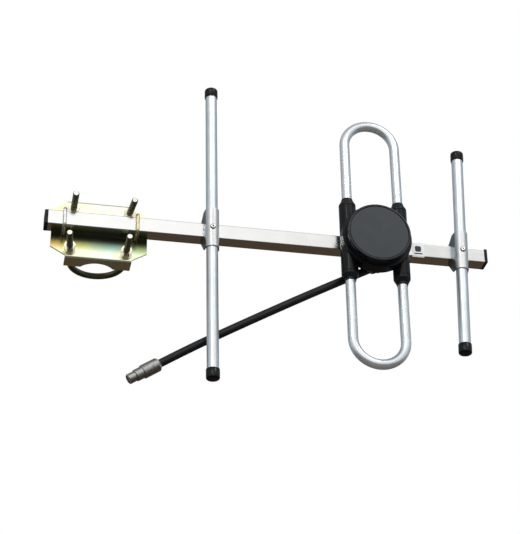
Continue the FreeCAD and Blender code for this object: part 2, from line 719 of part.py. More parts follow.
def feed_strap(side):
    """Flat strap from the cut leg's front to the back of the board."""
    low = V(REAR_LEG_X - STRAP_W / 2, BOARD_BACK_Y, side * STRAP_Z - STRAP_W / 2)
    high = V(REAR_LEG_X + STRAP_LENGTH, STRAP_BACK_Y, side * STRAP_Z + STRAP_W / 2)
    strap = block(low, high)
    for x in (REAR_LEG_X, strap_end_x()):
        hole_d = STRAP_SCREW_D + 2 * SCREW_CLEARANCE
        strap = strap.cut(rod(hole_d, STRAP_T, V(x, STRAP_BACK_Y, side * STRAP_Z), TO_VIEWER))
    return strap


def strap_screws():
    """Screws of the straps: two into the leg and two through the board."""
    screws = []
    for side in (-1, 1):
        on_leg = V(REAR_LEG_X, BOARD_BACK_Y, side * STRAP_Z)
        on_board = V(strap_end_x(), BOARD_FRONT_Y, side * STRAP_Z)
        for seat in (on_leg, on_board):
            head = rod(STRAP_SCREW_HEAD_D, STRAP_SCREW_HEAD_H, seat, TO_VIEWER)
            shank = rod(STRAP_SCREW_D, STRAP_SCREW_LENGTH, seat, TO_MAST)
            screws.append(head.fuse(shank).removeSplitter())
    return Part.makeCompound(screws)


def half_wave_line():
    """Open ring of thin coax on the housing's floor, with both ends raised to the board."""
    centre = V(DIPOLE_X, FLOOR_Y - LINE_D / 2, 0)
    half_gap = math.radians((360 - LINE_ARC_DEG) / 2)
    ends = []
    for side in (-1, 1):
        offset = V(-LINE_RING_R * math.cos(half_gap), 0, side * LINE_RING_R * math.sin(half_gap))
        ends.append(centre + offset)
    far = centre + V(LINE_RING_R, 0, 0)
    ring_edge = arc(ends[0], far, ends[1])
    tangent = V(math.sin(half_gap), 0, -math.cos(half_gap))
    lay = swept([ring_edge], LINE_D, ends[0], tangent)
    risers = [rod(LINE_D, centre.y - BOARD_BACK_Y, end, TO_VIEWER) for end in ends]
    corners = [Part.makeSphere(LINE_D / 2, end) for end in ends]
    return lay.fuse(risers + corners).removeSplitter()


def housing_screws():
    """Two screws from the housing's floor into the boom."""
    screws = []
    for side in (-1, 1):
        seat = V(DIPOLE_X + side * HOUSING_SCREW_X, FLOOR_Y, 0)
        head = rod(HOUSING_SCREW_HEAD_D, HOUSING_SCREW_HEAD_H, seat, TO_VIEWER)
        shank = rod(HOUSING_SCREW_D, HOUSING_SCREW_LENGTH, seat, TO_MAST)
        screws.append(head.fuse(shank).removeSplitter())
    return Part.makeCompound(screws)


def gland_nut():
    """Hexagon gland nut with a spigot in the outlet's mouth."""
    exit_point, inwards = outlet_axis()
    bore_d = CABLE_D + 2 * CABLE_CLEARANCE
    head = hex_nut(GLAND_HEX, GLAND_HEAD_H, bore_d, GLAND_EDGE, exit_point, inwards)
    spigot = ring(GLAND_SPIGOT_D, bore_d, GLAND_SPIGOT_H, along_outlet(GLAND_HEAD_H), inwards)
    return head.fuse(spigot).removeSplitter()


def gland_seal():
    """Rubber sleeve that the gland nut squeezes on the cable."""
    start = along_outlet(GLAND_HEAD_H + GLAND_SPIGOT_H)
    bore_d = CABLE_D + 2 * CABLE_CLEARANCE
    return ring(GLAND_SPIGOT_D, bore_d, GLAND_SEAL_H, start, outlet_axis()[1])


def cable_inner_end():
    """Stripped end of the cable in the outlet, its core turned up to the board."""
    inwards = outlet_axis()[1]
    jacket = rod(CABLE_D, JACKET_LENGTH, along_outlet(0), inwards)
    dielectric = rod(DIELECTRIC_D, DIELECTRIC_LENGTH, along_outlet(JACKET_LENGTH), inwards)
    core_start = JACKET_LENGTH + DIELECTRIC_LENGTH
    tap = along_outlet(core_start + CORE_D / 2)
    core = rod(CORE_D, CORE_D / 2, along_outlet(core_start), inwards)
    bend = Part.makeSphere(CORE_D / 2, tap)
    riser = rod(CORE_D, tap.y - BOARD_BACK_Y, tap, TO_VIEWER)
    return jacket.fuse([dielectric, core, bend, riser]).removeSplitter()


def cable_edges():
    """Straight runs of the route, joined by tangent arcs as large as they allow."""
    points = [V(*p) for p in CABLE_ROUTE]
    edges = []
    radii = []
    at = points[0]
    for before, corner, after in zip(points, points[1:], points[2:]):
        run_in = corner - before
        run_out = after - corner
        turn = run_in.getAngle(run_out)
        setback = ROUTE_ARC_SHARE * min(run_in.Length, run_out.Length)
        radius = setback / math.tan(turn / 2)
        run_in.normalize()
        run_out.normalize()
        start = corner - run_in * setback
        end = corner + run_out * setback
        to_centre = run_out - run_in
        to_centre.normalize()
        centre = corner + to_centre * math.hypot(radius, setback)
        edges.append(line(at, start))
        edges.append(arc(start, centre - to_centre * radius, end))
        radii.append(radius)
        at = end
    edges.append(line(at, points[-1]))
    return edges, radii


def coax_cable():
    """Round cable from the gland to the connector."""
    edges, radii = cable_edges()
    start = V(*CABLE_ROUTE[0])
    direction = V(*CABLE_ROUTE[1]) - start
    direction.normalize()
    cable = swept(edges, CABLE_D, start, direction)
    length = sum(edge.Length for edge in edges)
    section = math.pi * CABLE_D * CABLE_D / 4
    print("cable length", round(length, 1), "bend radii", [round(r) for r in radii])
    print("cable volume over section times length", round(cable.Volume / (section * length), 5))
    return cable


def connector_axis():
    """Back face of the connector on the cable, and the direction to its open end."""
    back = V(*CABLE_ROUTE[-1])
    outwards = back - V(*CABLE_ROUTE[-2])
    outwards.normalize()
    return back, outwards


def connector_clamp_nut():
    """Rear nut with a broad turned edge where the cable goes in."""
    back, outwards = connector_axis()
    radius = CONNECTOR_D / 2
    profile = [
        (0, 0),
        (radius - CONNECTOR_REAR_EDGE, 0),
        (radius, CONNECTOR_REAR_EDGE),
        (radius, CONNECTOR_NUT_LENGTH),
        (0, CONNECTOR_NUT_LENGTH),
    ]
    return turned(profile, back, outwards)


def connector_body():
    """Shell, neck, groove and threaded end, bored from its open end."""
    back, outwards = connector_axis()
    start = back + outwards * CONNECTOR_NUT_LENGTH
    shell_r = CONNECTOR_D / 2
    neck_r = CONNECTOR_NECK_D / 2
    groove_r = CONNECTOR_GROOVE_D / 2
    end_r = CONNECTOR_END_D / 2
    neck_at = CONNECTOR_SHELL_LENGTH
    groove_at = neck_at + CONNECTOR_NECK_LENGTH
    end_at = groove_at + CONNECTOR_GROOVE_LENGTH
    tip = end_at + CONNECTOR_END_LENGTH
    profile = [
        (0, 0),
        (shell_r, 0),
        (shell_r, neck_at - CONNECTOR_EDGE),
        (shell_r - CONNECTOR_EDGE, neck_at),
        (neck_r, neck_at),
        (neck_r, groove_at - CONNECTOR_EDGE),
        (neck_r - CONNECTOR_EDGE, groove_at),
        (groove_r, groove_at),
        (groove_r, end_at),
        (end_r, end_at),
        (end_r, tip - CONNECTOR_EDGE),
        (end_r - CONNECTOR_EDGE, tip),
        (CONNECTOR_BORE_D / 2, tip),
        (CONNECTOR_BORE_D / 2, tip - CONNECTOR_BORE_DEPTH),
        (0, tip - CONNECTOR_BORE_DEPTH),
    ]
    return turned(profile, start, outwards)


def connector_floor():
    """Bottom of the bore at the connector's open end."""
    back, outwards = connector_axis()
    length = CONNECTOR_NUT_LENGTH + CONNECTOR_SHELL_LENGTH + CONNECTOR_NECK_LENGTH
    length = length + CONNECTOR_GROOVE_LENGTH + CONNECTOR_END_LENGTH
    return back + outwards * (length - CONNECTOR_BORE_DEPTH), outwards


def connector_insulator():
    """White bush round the contact."""
    floor, outwards = connector_floor()
    length = CONNECTOR_BORE_DEPTH - CONNECTOR_INSULATOR_RECESS
    bush = rod(CONNECTOR_INSULATOR_D, length, floor, outwards)
    return bush.cut(rod(CONNECTOR_CONTACT_D, length, floor, outwards))


def connector_contact():
    """Centre contact of the connector, with a socket in its end."""
    floor, outwards = connector_floor()
    length = CONNECTOR_BORE_DEPTH - CONNECTOR_CONTACT_RECESS
    contact = rod(CONNECTOR_CONTACT_D, length, floor, outwards)
    tip = floor + outwards * length
    return contact.cut(rod(CONNECTOR_CONTACT_D / 2, CONNECTOR_CONTACT_LENGTH, tip, outwards * -1))


def plate_profile():
    """Side view of the clamp plate: a wall in front and two edges bent back."""
    half = PLATE_HEIGHT / 2
    outer_r = PLATE_BEND_R + PLATE_T
    rear_y = PLATE_FRONT_Y + FLANGE_DEPTH
    x = -PLATE_WIDTH / 2
    diagonal = 1 - math.sqrt(0.5)

    def side(reach, radius, front_y):
        low_start = V(x, rear_y, -reach)
        low_bend = V(x, front_y + radius, -reach)
        low_mid = V(x, front_y + radius * diagonal, -reach + radius * diagonal)
        low_end = V(x, front_y, -reach + radius)
        high_start = V(x, front_y, reach - radius)
        high_mid = V(x, front_y + radius * diagonal, reach - radius * diagonal)
        high_bend = V(x, front_y + radius, reach)
        high_end = V(x, rear_y, reach)
        return [
            line(low_start, low_bend),
            arc(low_bend, low_mid, low_end),
            line(low_end, high_start),
            arc(high_start, high_mid, high_bend),
            line(high_bend, high_end),
        ]

    outer = side(half, outer_r, PLATE_FRONT_Y)
    inner = side(half - PLATE_T, PLATE_BEND_R, PLATE_BACK_Y)
    ends = [
        line(V(x, rear_y, half), V(x, rear_y, half - PLATE_T)),
        line(V(x, rear_y, -half + PLATE_T), V(x, rear_y, -half)),
    ]
    return Part.Wire(Part.sortEdges(outer + inner + ends)[0])


def plate_outline():
    """Front view of the clamp plate: its corners cut off, and the bent edges square at their ends."""
    half_x = PLATE_WIDTH / 2
    half_z = PLATE_HEIGHT / 2
    bend_z = half_z - PLATE_BEND_R - PLATE_T
    in_x = half_x - PLATE_CHAMFER_X
    in_z = bend_z - PLATE_CHAMFER_Z
    y = PLATE_FRONT_Y
    corner = [(half_x, in_z), (in_x, bend_z), (in_x, half_z)]
    points = [V(x, y, z) for x, z in corner]
    points += [V(-x, y, z) for x, z in reversed(corner)]
    points += [V(-x, y, -z) for x, z in corner]
    points += [V(x, y, -z) for x, z in reversed(corner)]
    return Part.Face(Part.makePolygon(points + [points[0]]))


def clamp_plate():
    """Bent plate with round notches for the mast and holes for both kinds of U-bolt."""
    sheet = Part.Face(plate_profile()).extrude(V(PLATE_WIDTH, 0, 0))
    plate = sheet.common(plate_outline().extrude(V(0, FLANGE_DEPTH, 0)))
    plate.translate(V(0, 0, -PLATE_DROP))
    cuts = [rod(MAST_D, 2 * PLATE_HEIGHT, V(0, 0, -PLATE_HEIGHT), UP)]
    for x in (-MAST_BOLT_SPACING_X / 2, MAST_BOLT_SPACING_X / 2):
        for z in mast_bolt_heights():
            hole_d = MAST_BOLT_D + 2 * MAST_HOLE_CLEARANCE
            cuts.append(rod(hole_d, 3 * PLATE_T, V(x, PLATE_FRONT_Y - PLATE_T, z), TO_MAST))
    for x in (-BOOM_BOLT_SPACING / 2, BOOM_BOLT_SPACING / 2):
        for side in (-1, 1):
            hole_d = BOOM_BOLT_D + 4 * BOOM_BOLT_CLEARANCE
            cuts.append(rod(hole_d, 3 * PLATE_T, V(x, PLATE_FRONT_Y - PLATE_T, side * boom_leg_z()), TO_MAST))
    return plate.cut(cuts)


def mast_bolt_heights():
    """Heights of the lower and upper mast U-bolts."""
    half = MAST_BOLT_SPACING_Z / 2
    return (-MAST_BOLT_DROP - half, -MAST_BOLT_DROP + half)


def mast_bolt_turn(z):
    """How far the U-bolt at that height is turned, in degrees: the two are askew opposite ways."""
    return MAST_BOLT_TURN_DEG if z > -MAST_BOLT_DROP else -MAST_BOLT_TURN_DEG


def mast_bolt_bend():
    """Centre and radius of a mast U-bolt's bend, with its back drawn up to the mast."""
    splay = math.radians(MAST_BOLT_SPLAY_DEG)
    plate_mid_y = PLATE_FRONT_Y + PLATE_T / 2
    back_y = MAST_R + MAST_BOLT_SEAT + MAST_BOLT_D / 2
    across = MAST_BOLT_SPACING_X / 2 * math.cos(splay)
    along = (plate_mid_y - back_y) * math.sin(splay)
    radius = (across + along) / (1 - math.sin(splay))
    return V(0, back_y - radius, 0), radius


def mast_leg_x(y):
    """Half the distance between a mast U-bolt's legs at that depth."""
    plate_mid_y = PLATE_FRONT_Y + PLATE_T / 2
    return MAST_BOLT_SPACING_X / 2 + (plate_mid_y - y) * math.tan(math.radians(MAST_BOLT_SPLAY_DEG))


def mast_u_bolt(z):
    """U-bolt round the mast, its threaded ends through the plate."""
    splay = math.radians(MAST_BOLT_SPLAY_DEG)
    centre, radius = mast_bolt_bend()
    lift = V(0, 0, z)
    tip_y = PLATE_FRONT_Y - MAST_BOLT_REACH
    right_tip = V(mast_leg_x(tip_y), tip_y, z)
    left_tip = V(-mast_leg_x(tip_y), tip_y, z)
    reach_x = radius * math.cos(splay)
    reach_y = radius * math.sin(splay)
    right_bend = centre + V(reach_x, reach_y, 0) + lift
    left_bend = centre + V(-reach_x, reach_y, 0) + lift
    back = centre + V(0, radius, 0) + lift
    edges = [line(right_tip, right_bend), arc(right_bend, back, left_bend), line(left_bend, left_tip)]
    direction = right_bend - right_tip
    direction.normalize()
    bolt = swept(edges, MAST_BOLT_D, right_tip, direction)
    tip_edges = [e for e in bolt.Edges if e.Closed and e.BoundBox.YMax < tip_y + MAST_BOLT_D / 2]
    bolt = bolt.makeChamfer(MAST_BOLT_EDGE, tip_edges)
    bolt.rotate(V(0, MAST_BOLT_PIVOT_Y, 0), UP, mast_bolt_turn(z))
    return bolt


def on_mast_studs(make):
    """One copy of a fastener on each of the four studs."""
    copies = []
    for z in mast_bolt_heights():
        for side in (-1, 1):
            copies.append(make(side, z))
    return Part.makeCompound(copies)


def stud_lean(side, z):
    """Angle of a stud to the plate's normal, from its splay and its U-bolt's turn."""
    return math.radians(side * MAST_BOLT_SPLAY_DEG + mast_bolt_turn(z))


def stud_point(side, z, y):
    """Point of a stud's axis at that depth."""
    turn = math.radians(mast_bolt_turn(z))
    half = side * MAST_BOLT_SPACING_X / 2
    arm = PLATE_FRONT_Y + PLATE_T / 2 - MAST_BOLT_PIVOT_Y
    base_x = half * math.cos(turn) - arm * math.sin(turn)
    base_y = MAST_BOLT_PIVOT_Y + half * math.sin(turn) + arm * math.cos(turn)
    return V(base_x + (base_y - y) * math.tan(stud_lean(side, z)), y, z)


def leaning(angle):
    """Direction to the viewer, leaned that far towards the director."""
    return V(math.sin(angle), -math.cos(angle), 0)


def stack_lift(side, z):
    """Room that two faces need where one leans on the other's rim."""
    return MAST_SPRING_D / 2 * math.tan(abs(stud_lean(side, z)) / 2) + MAST_STACK_CLEARANCE


def mast_washer(side, z):
    """Plain washer against the plate."""
    start = stud_point(side, z, PLATE_FRONT_Y)
    bore_d = MAST_BOLT_D + 2 * THREAD_CLEARANCE
    return ring(MAST_WASHER_D, bore_d, MAST_WASHER_T, start, TO_VIEWER)


def mast_spring_washer(side, z):
    """Spring washer between the plain washer and the nut, cut through, taking half of the lean."""
    start_y = PLATE_FRONT_Y - MAST_WASHER_T - stack_lift(side, z)
    start = stud_point(side, z, start_y)
    bore_d = MAST_BOLT_D + 2 * THREAD_CLEARANCE
    washer = ring(MAST_SPRING_D, bore_d, MAST_SPRING_T, V(0, 0, 0), UP)
    slit = block(V(0, -MAST_SPRING_T / 4, 0), V(MAST_SPRING_D, MAST_SPRING_T / 4, MAST_SPRING_T))
    washer = washer.cut(slit)
    washer.Placement = FreeCAD.Placement(start, FreeCAD.Rotation(UP, leaning(stud_lean(side, z) / 2)))
    return washer


def mast_nut(side, z):
    """Hexagon nut on a mast U-bolt, square to its stud."""
    start_y = PLATE_FRONT_Y - MAST_WASHER_T - MAST_SPRING_T - 2 * stack_lift(side, z)
    start = stud_point(side, z, start_y)
    bore_d = MAST_BOLT_D + 2 * THREAD_CLEARANCE
    return hex_nut(MAST_NUT_AF, MAST_NUT_H, bore_d, MAST_NUT_EDGE, start, leaning(stud_lean(side, z)))


def boom_leg_z():
    """Height of a boom U-bolt's upper leg."""
    return BOOM_SIDE / 2 + BOOM_BOLT_CLEARANCE + BOOM_BOLT_D / 2


def boom_u_bolt(x):
    """Square U-bolt over the boom's front, its legs through the plate."""
    z = boom_leg_z()
    front_y = BOOM_FRONT_Y - BOOM_BOLT_CLEARANCE - BOOM_BOLT_D / 2
    bend_r = BOOM_BOLT_D / 2 + BOOM_BOLT_CLEARANCE + BOOM_CORNER_R
    inset = bend_r * (1 - math.sqrt(0.5))
    tail_y = PLATE_BACK_Y + BOOM_BOLT_TAIL
    edges = [
        line(V(x, tail_y, z), V(x, front_y + bend_r, z)),
        arc(V(x, front_y + bend_r, z), V(x, front_y + inset, z - inset), V(x, front_y, z - bend_r)),
        line(V(x, front_y, z - bend_r), V(x, front_y, bend_r - z)),
        arc(V(x, front_y, bend_r - z), V(x, front_y + inset, inset - z), V(x, front_y + bend_r, -z)),
        line(V(x, front_y + bend_r, -z), V(x, tail_y, -z)),
    ]
    bolt = swept(edges, BOOM_BOLT_D, V(x, tail_y, z), TO_VIEWER)
    tip_edges = [e for e in bolt.Edges if e.Closed and e.BoundBox.YMin > tail_y - BOOM_BOLT_EDGE]
    return bolt.makeChamfer(BOOM_BOLT_EDGE, tip_edges)


def on_boom_bolt_legs(make):
    """One copy of a fastener on each of the four legs behind the plate."""
    copies = []
    for x in (-BOOM_BOLT_SPACING / 2, BOOM_BOLT_SPACING / 2):
        for side in (-1, 1):
            copies.append(make(x, side * boom_leg_z()))
    return Part.makeCompound(copies)


def boom_washer(x, z):
    """Washer behind the plate."""
    bore_d = BOOM_BOLT_D + 2 * BOOM_BOLT_CLEARANCE
    return ring(BOOM_WASHER_D, bore_d, BOOM_WASHER_T, V(x, PLATE_BACK_Y, z), TO_MAST)


def boom_nut(x, z):
    """Hexagon nut on a boom U-bolt."""
    start = V(x, PLATE_BACK_Y + BOOM_WASHER_T, z)
    bore_d = BOOM_BOLT_D + 2 * BOOM_BOLT_CLEARANCE
    return hex_nut(BOOM_NUT_AF, BOOM_NUT_H, bore_d, BOOM_NUT_EDGE, start, TO_MAST)


def save_boom():
    save(boom_tube(), "boom")
    save(boom_plug(BOOM_REAR_X, -1), "boom_plug_rear")
    save(boom_plug(BOOM_FRONT_X, 1), "boom_plug_front")


def save_element(name, x, length, tilt):
    pieces = {
        "_tube": element_tube(x, length),
        "_cap_top": element_cap(x, length, 1),
        "_cap_bottom": element_cap(x, length, -1),
        "_saddle": element_saddle(x),
        "_rivet": element_rivet(x),
    }
    for ending, shape in pieces.items():
        shape.rotate(V(x, 0, RIVET_Z), TO_MAST, tilt)
        save(shape, name + ending)


def save_dipole():
    save(dipole_loop(), "dipole_loop")
    for leg, x in (("rear", REAR_LEG_X), ("front", FRONT_LEG_X)):
        save(leg_seal(x, 1), "leg_seal_" + leg + "_upper")
        save(leg_seal(x, -1), "leg_seal_" + leg + "_lower")


def save_feed():
    save(feed_housing(), "feed_housing")
    save(lid_gasket(), "lid_gasket")
    save(feed_lid(), "feed_lid")
    save(matching_board(), "matching_board")
    save(board_screws(), "board_screws")
    save(feed_strap(1), "feed_strap_upper")
    save(feed_strap(-1), "feed_strap_lower")
    save(strap_screws(), "strap_screws")
    save(half_wave_line(), "half_wave_line")
    save(housing_screws(), "housing_screws")


def save_cable():
    save(gland_nut(), "gland_nut")
    save(gland_seal(), "gland_seal")
    save(cable_inner_end(), "cable_inner_end")
    save(coax_cable(), "coax_cable")
    save(connector_clamp_nut(), "connector_clamp_nut")
    save(connector_body(), "connector_body")
    save(connector_insulator(), "connector_insulator")
    save(connector_contact(), "connector_contact")


def save_clamp():
    lower_z, upper_z = mast_bolt_heights()
    save(clamp_plate(), "clamp_plate")
    save(mast_u_bolt(upper_z), "mast_u_bolt_upper")
    save(mast_u_bolt(lower_z), "mast_u_bolt_lower")
    save(on_mast_studs(mast_washer), "mast_washers")
    save(on_mast_studs(mast_spring_washer), "mast_spring_washers")
    save(on_mast_studs(mast_nut), "mast_nuts")
    save(boom_u_bolt(-BOOM_BOLT_SPACING / 2), "boom_u_bolt_rear")
    save(boom_u_bolt(BOOM_BOLT_SPACING / 2), "boom_u_bolt_front")
    save(on_boom_bolt_legs(boom_washer), "boom_bolt_washers")
    save(on_boom_bolt_legs(boom_nut), "boom_bolt_nuts")


os.makedirs("parts", exist_ok=True)
save_boom()
save_element("reflector", REFLECTOR_X, REFLECTOR_TUBE_LENGTH, REFLECTOR_TILT_DEG)
save_element("director", DIRECTOR_X, DIRECTOR_TUBE_LENGTH, DIRECTOR_TILT_DEG)
save_dipole()
save_feed()
save_cable()
save_clamp()
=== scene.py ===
import bpy
import bmesh
import math
from mathutils import Matrix, Vector


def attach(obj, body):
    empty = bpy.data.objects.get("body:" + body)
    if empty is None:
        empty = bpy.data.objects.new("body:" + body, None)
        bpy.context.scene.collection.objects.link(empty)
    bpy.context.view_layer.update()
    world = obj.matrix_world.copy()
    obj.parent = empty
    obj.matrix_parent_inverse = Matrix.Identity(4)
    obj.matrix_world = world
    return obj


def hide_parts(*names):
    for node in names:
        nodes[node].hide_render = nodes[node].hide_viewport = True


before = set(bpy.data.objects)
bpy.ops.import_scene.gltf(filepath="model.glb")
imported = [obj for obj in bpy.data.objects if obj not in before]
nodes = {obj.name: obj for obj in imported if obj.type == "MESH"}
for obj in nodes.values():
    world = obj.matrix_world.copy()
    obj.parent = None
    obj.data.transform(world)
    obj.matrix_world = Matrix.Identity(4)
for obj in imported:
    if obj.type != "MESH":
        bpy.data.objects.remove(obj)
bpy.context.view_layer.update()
mm = 0.001
print("frame loaded:", len(nodes), "nodes")

camera = {
    "place": (-0.15062, -1.80428, -1.08409),  # metres, below and in front of the boom
    "yaw": -0.198627,
    "pitch": 0.526415,
    "roll": -0.013514,
    "lens": 110.73,  # for the taller side of the 520 x 534 image
}


def makeCamera():
    data = bpy.data.cameras.new("camera")
    data.lens = camera["lens"]
    data.sensor_width = 36
    data.clip_start = 0.05
    data.clip_end = 100
    item = bpy.data.objects.new("camera", data)
    bpy.context.scene.collection.objects.link(item)
    turn = Matrix.Rotation(camera["yaw"], 4, "Z") @ Matrix.Rotation(math.pi / 2 + camera["pitch"], 4, "X")
    item.matrix_world = Matrix.Translation(camera["place"]) @ turn @ Matrix.Rotation(camera["roll"], 4, "Z")
    bpy.context.scene.camera = item


makeCamera()
print("camera set")


# Helpers for materials. Colours are sRGB hex values, and sizes are millimetres on the real thing.
def hexColour(code):
    parts = [int(code[i:i + 2], 16) / 255 for i in (1, 3, 5)]
    return tuple(p / 12.92 if p <= 0.04045 else ((p + 0.055) / 1.055) ** 2.4 for p in parts) + (1,)


def plugIn(tree, node, inputs):
    # a node (by its first output) or a socket is linked; a number or a colour is set on the socket itself
    for key, value in inputs.items():
        if isinstance(value, bpy.types.Node):
            value = value.outputs[0]
        if isinstance(value, bpy.types.NodeSocket):
            tree.links.new(value, node.inputs[key])
        else:
            node.inputs[key].default_value = hexColour(value) if isinstance(value, str) else value


def addNode(tree, kind, inputs=None, stops=(), **settings):
    # stops are the places and colours of a colour ramp
    node = tree.nodes.new(kind)
    for key, value in settings.items():
        setattr(node, key, value)
    plugIn(tree, node, inputs or {})
    if stops:
        elements = node.color_ramp.elements
        while len(elements) < len(stops):
            elements.new(0.5)
        for element, (place, colour) in zip(elements, stops):
            element.position = place
            element.color = hexColour(colour)
    return node


def newMaterial(name):
    # place is Object coordinates in millimetres
    material = bpy.data.materials.new(name)
    material.use_nodes = True
    tree = material.node_tree
    metres = addNode(tree, "ShaderNodeTexCoord").outputs["Object"]
    place = addNode(tree, "ShaderNodeMapping", {"Vector": metres, "Scale": (1 / mm,) * 3})
    return material, tree, tree.nodes["Principled BSDF"], place


drawn = {
    # die lines, made coarser than real ones so that they show
    "lineGap": 1.2,
    "lineLength": 120,
    "lineDepth": 0.002,
    "lineStrength": 0.1,
    "cloud": 16,
}


def drawnAluminium(name, along, colours, roughness, metal=1.0):
    # faint die lines along the length, over a soft and even shine
    material, tree, shader, place = newMaterial(name)
    squeeze = [1 / drawn["lineLength"] if axis == along else 1 / drawn["lineGap"] for axis in "XYZ"]
    lineSpace = addNode(tree, "ShaderNodeMapping", {"Vector": place, "Scale": squeeze})
    lines = addNode(tree, "ShaderNodeTexNoise", {"Vector": lineSpace, "Scale": 1.0, "Detail": 3.0})
    clouds = addNode(tree, "ShaderNodeTexNoise", {"Vector": place, "Scale": 1 / drawn["cloud"], "Detail": 4.0})
    tint = addNode(tree, "ShaderNodeValToRGB", {"Fac": clouds}, [(0.3, colours[0]), (0.7, colours[1])])
    both = addNode(tree, "ShaderNodeMath", {0: lines, 1: clouds}, operation="MULTIPLY")
    low, high = roughness
    polish = addNode(tree, "ShaderNodeMapRange", {"Value": both, "To Min": low, "To Max": high})
    relief = addNode(tree, "ShaderNodeBump", {
        "Height": lines, "Distance": drawn["lineDepth"] * mm, "Strength": drawn["lineStrength"],
    })
    plugIn(tree, shader, {"Metallic": metal, "Base Color": tint, "Roughness": polish, "Normal": relief})
    return material


# extruded aluminium of the boom: bright from the die, a soft mirror
extrudedAluminium = drawnAluminium("extrudedAluminium", "X", ("#e4e4e3", "#eaeae9"), (0.14, 0.30))
# anodised aluminium of the straight tubes: a thin clear film that dulls the shine and cools it
anodisedTube = drawnAluminium("anodisedTube", "Z", ("#dde3e8", "#e9edf0"), (0.28, 0.4), 0.93)
# drawn aluminium of the dipole: smoother and a little brighter, with a faint white haze over the metal
brightTube = drawnAluminium("brightTube", "Z", ("#dfe5e9", "#ebeef0"), (0.24, 0.34), 0.86)

saddleSheet = {
    # bright where it is drawn over the tube; on its flat cheeks a darker blue-grey copy, painted shade and
    # painted reflection of the dimmer side of the room; turnAt is where, along Y
    "front": [(0.3, "#d5d7d7"), (0.7, "#e1e2e0")],
    "cheeks": [(0.3, "#717c82"), (0.7, "#868f93")],
    "turnAt": (-66.5, -63.5),
    "roughness": (0.34, 0.46),
    "cloud": 12,
    "scratch": (0.6, 0.6, 60),  # made coarser than real scratches so that they show
    "scratchDepth": 0.012,
    "scratchStrength": 0.3,
}


def pressedSheet():
    # pressed aluminium: soft shine with upright scratches from the press tool, and painted shade on its flat
    # cheeks
    material, tree, shader, place = newMaterial("pressedAluminium")
    depth = addNode(tree, "ShaderNodeSeparateXYZ", {0: place}).outputs["Y"]
    cheek = addNode(tree, "ShaderNodeMapRange", {
        "Value": depth, "From Min": saddleSheet["turnAt"][0], "From Max": saddleSheet["turnAt"][1],
    }, interpolation_type="SMOOTHSTEP")
    clouds = addNode(tree, "ShaderNodeTexNoise", {
        "Vector": place, "Scale": 1 / saddleSheet["cloud"], "Detail": 4.0,
    })
    bright = addNode(tree, "ShaderNodeValToRGB", {"Fac": clouds}, saddleSheet["front"])
    # the cheeks' blue-grey is painted shade and painted reflection, a darker copy of the same metal
    shadedCheekTint = addNode(tree, "ShaderNodeValToRGB", {"Fac": clouds}, saddleSheet["cheeks"])
    tint = addNode(tree, "ShaderNodeMix", {0: cheek, 6: bright, 7: shadedCheekTint}, data_type="RGBA").outputs[2]
    low, high = saddleSheet["roughness"]
    polish = addNode(tree, "ShaderNodeMapRange", {"Value": clouds, "To Min": low, "To Max": high})
    squeeze = [1 / size for size in saddleSheet["scratch"]]
    scratchSpace = addNode(tree, "ShaderNodeMapping", {"Vector": place, "Scale": squeeze})
    scratches = addNode(tree, "ShaderNodeTexNoise", {"Vector": scratchSpace, "Scale": 1.0, "Detail": 3.0})
    relief = addNode(tree, "ShaderNodeBump", {
        "Height": scratches,
        "Distance": saddleSheet["scratchDepth"] * mm,
        "Strength": saddleSheet["scratchStrength"],
    })
    plugIn(tree, shader, {"Metallic": 1.0, "Base Color": tint, "Roughness": polish, "Normal": relief})
    return material


pressedAluminium = pressedSheet()

mould = {
    "ior": 1.42,
    "cloud": 18,
    "sparkStrength": 0.5,
}


def moulded(name, colours, roughness, grain, depth, shine=0.5):
    # moulded plastic or rubber: an even colour under the mould's spark texture, which is made coarser
    # than a real one so that it shows; grain is the size of its marks
    material, tree, shader, place = newMaterial(name)
    wide = addNode(tree, "ShaderNodeTexNoise", {"Vector": place, "Scale": 1 / mould["cloud"], "Detail": 3.0})
    tint = addNode(tree, "ShaderNodeValToRGB", {"Fac": wide}, [(0.3, colours[0]), (0.7, colours[1])])
    low, high = roughness
    polish = addNode(tree, "ShaderNodeMapRange", {"Value": wide, "To Min": low, "To Max": high})
    spark = addNode(tree, "ShaderNodeTexNoise", {"Vector": place, "Scale": 1 / grain, "Detail": 2.0})
    relief = addNode(tree, "ShaderNodeBump", {
        "Height": spark, "Distance": depth * mm, "Strength": mould["sparkStrength"],
    })
    plugIn(tree, shader, {"Base Color": tint, "Roughness": polish, "Normal": relief})
    plugIn(tree, shader, {"IOR": mould["ior"], "Specular IOR Level": shine})
    return material


# polyethylene of caps, plugs and gland: glossy black
blackPolyethylene = moulded("blackPolyethylene", ("#060607", "#0a0b0c"), (0.16, 0.26), 0.6, 0.01, 0.36)
# ABS of the housing: black with a half gloss
blackAbs = moulded("blackAbs", ("#08090a", "#0d0e10"), (0.2, 0.32), 0.7, 0.02, 0.3)
# ABS of the lid's rim: polished black
glossyAbs = moulded("glossyAbs", ("#090a0b", "#0f1012"), (0.12, 0.2), 0.9, 0.01)
# ABS of the lid's face: dark grey and satin, from a textured mould
satinAbs = moulded("satinAbs", ("#36393b", "#3b3f40"), (0.46, 0.58), 0.6, 0.03)
# rubber of the seals: black with a soft sheen
mouldedRubber = moulded("mouldedRubber", ("#08080a", "#0e0f10"), (0.26, 0.4), 0.8, 0.03, 0.36)
# PVC of the cable's jacket: black, a little waxy
pvcJacket = moulded("pvcJacket", ("#0b0b0d", "#131417"), (0.28, 0.42), 1.2, 0.03)
# glass-fibre board under green solder resist, even and half glossy
greenLaminate = moulded("greenLaminate", ("#1f6b3b", "#247544"), (0.3, 0.4), 0.5, 0.01)
# PTFE of the connector's insulator: warm white and waxy
whitePtfe = moulded("whitePtfe", ("#e6e5de", "#efeee8"), (0.4, 0.5), 0.5, 0.01)
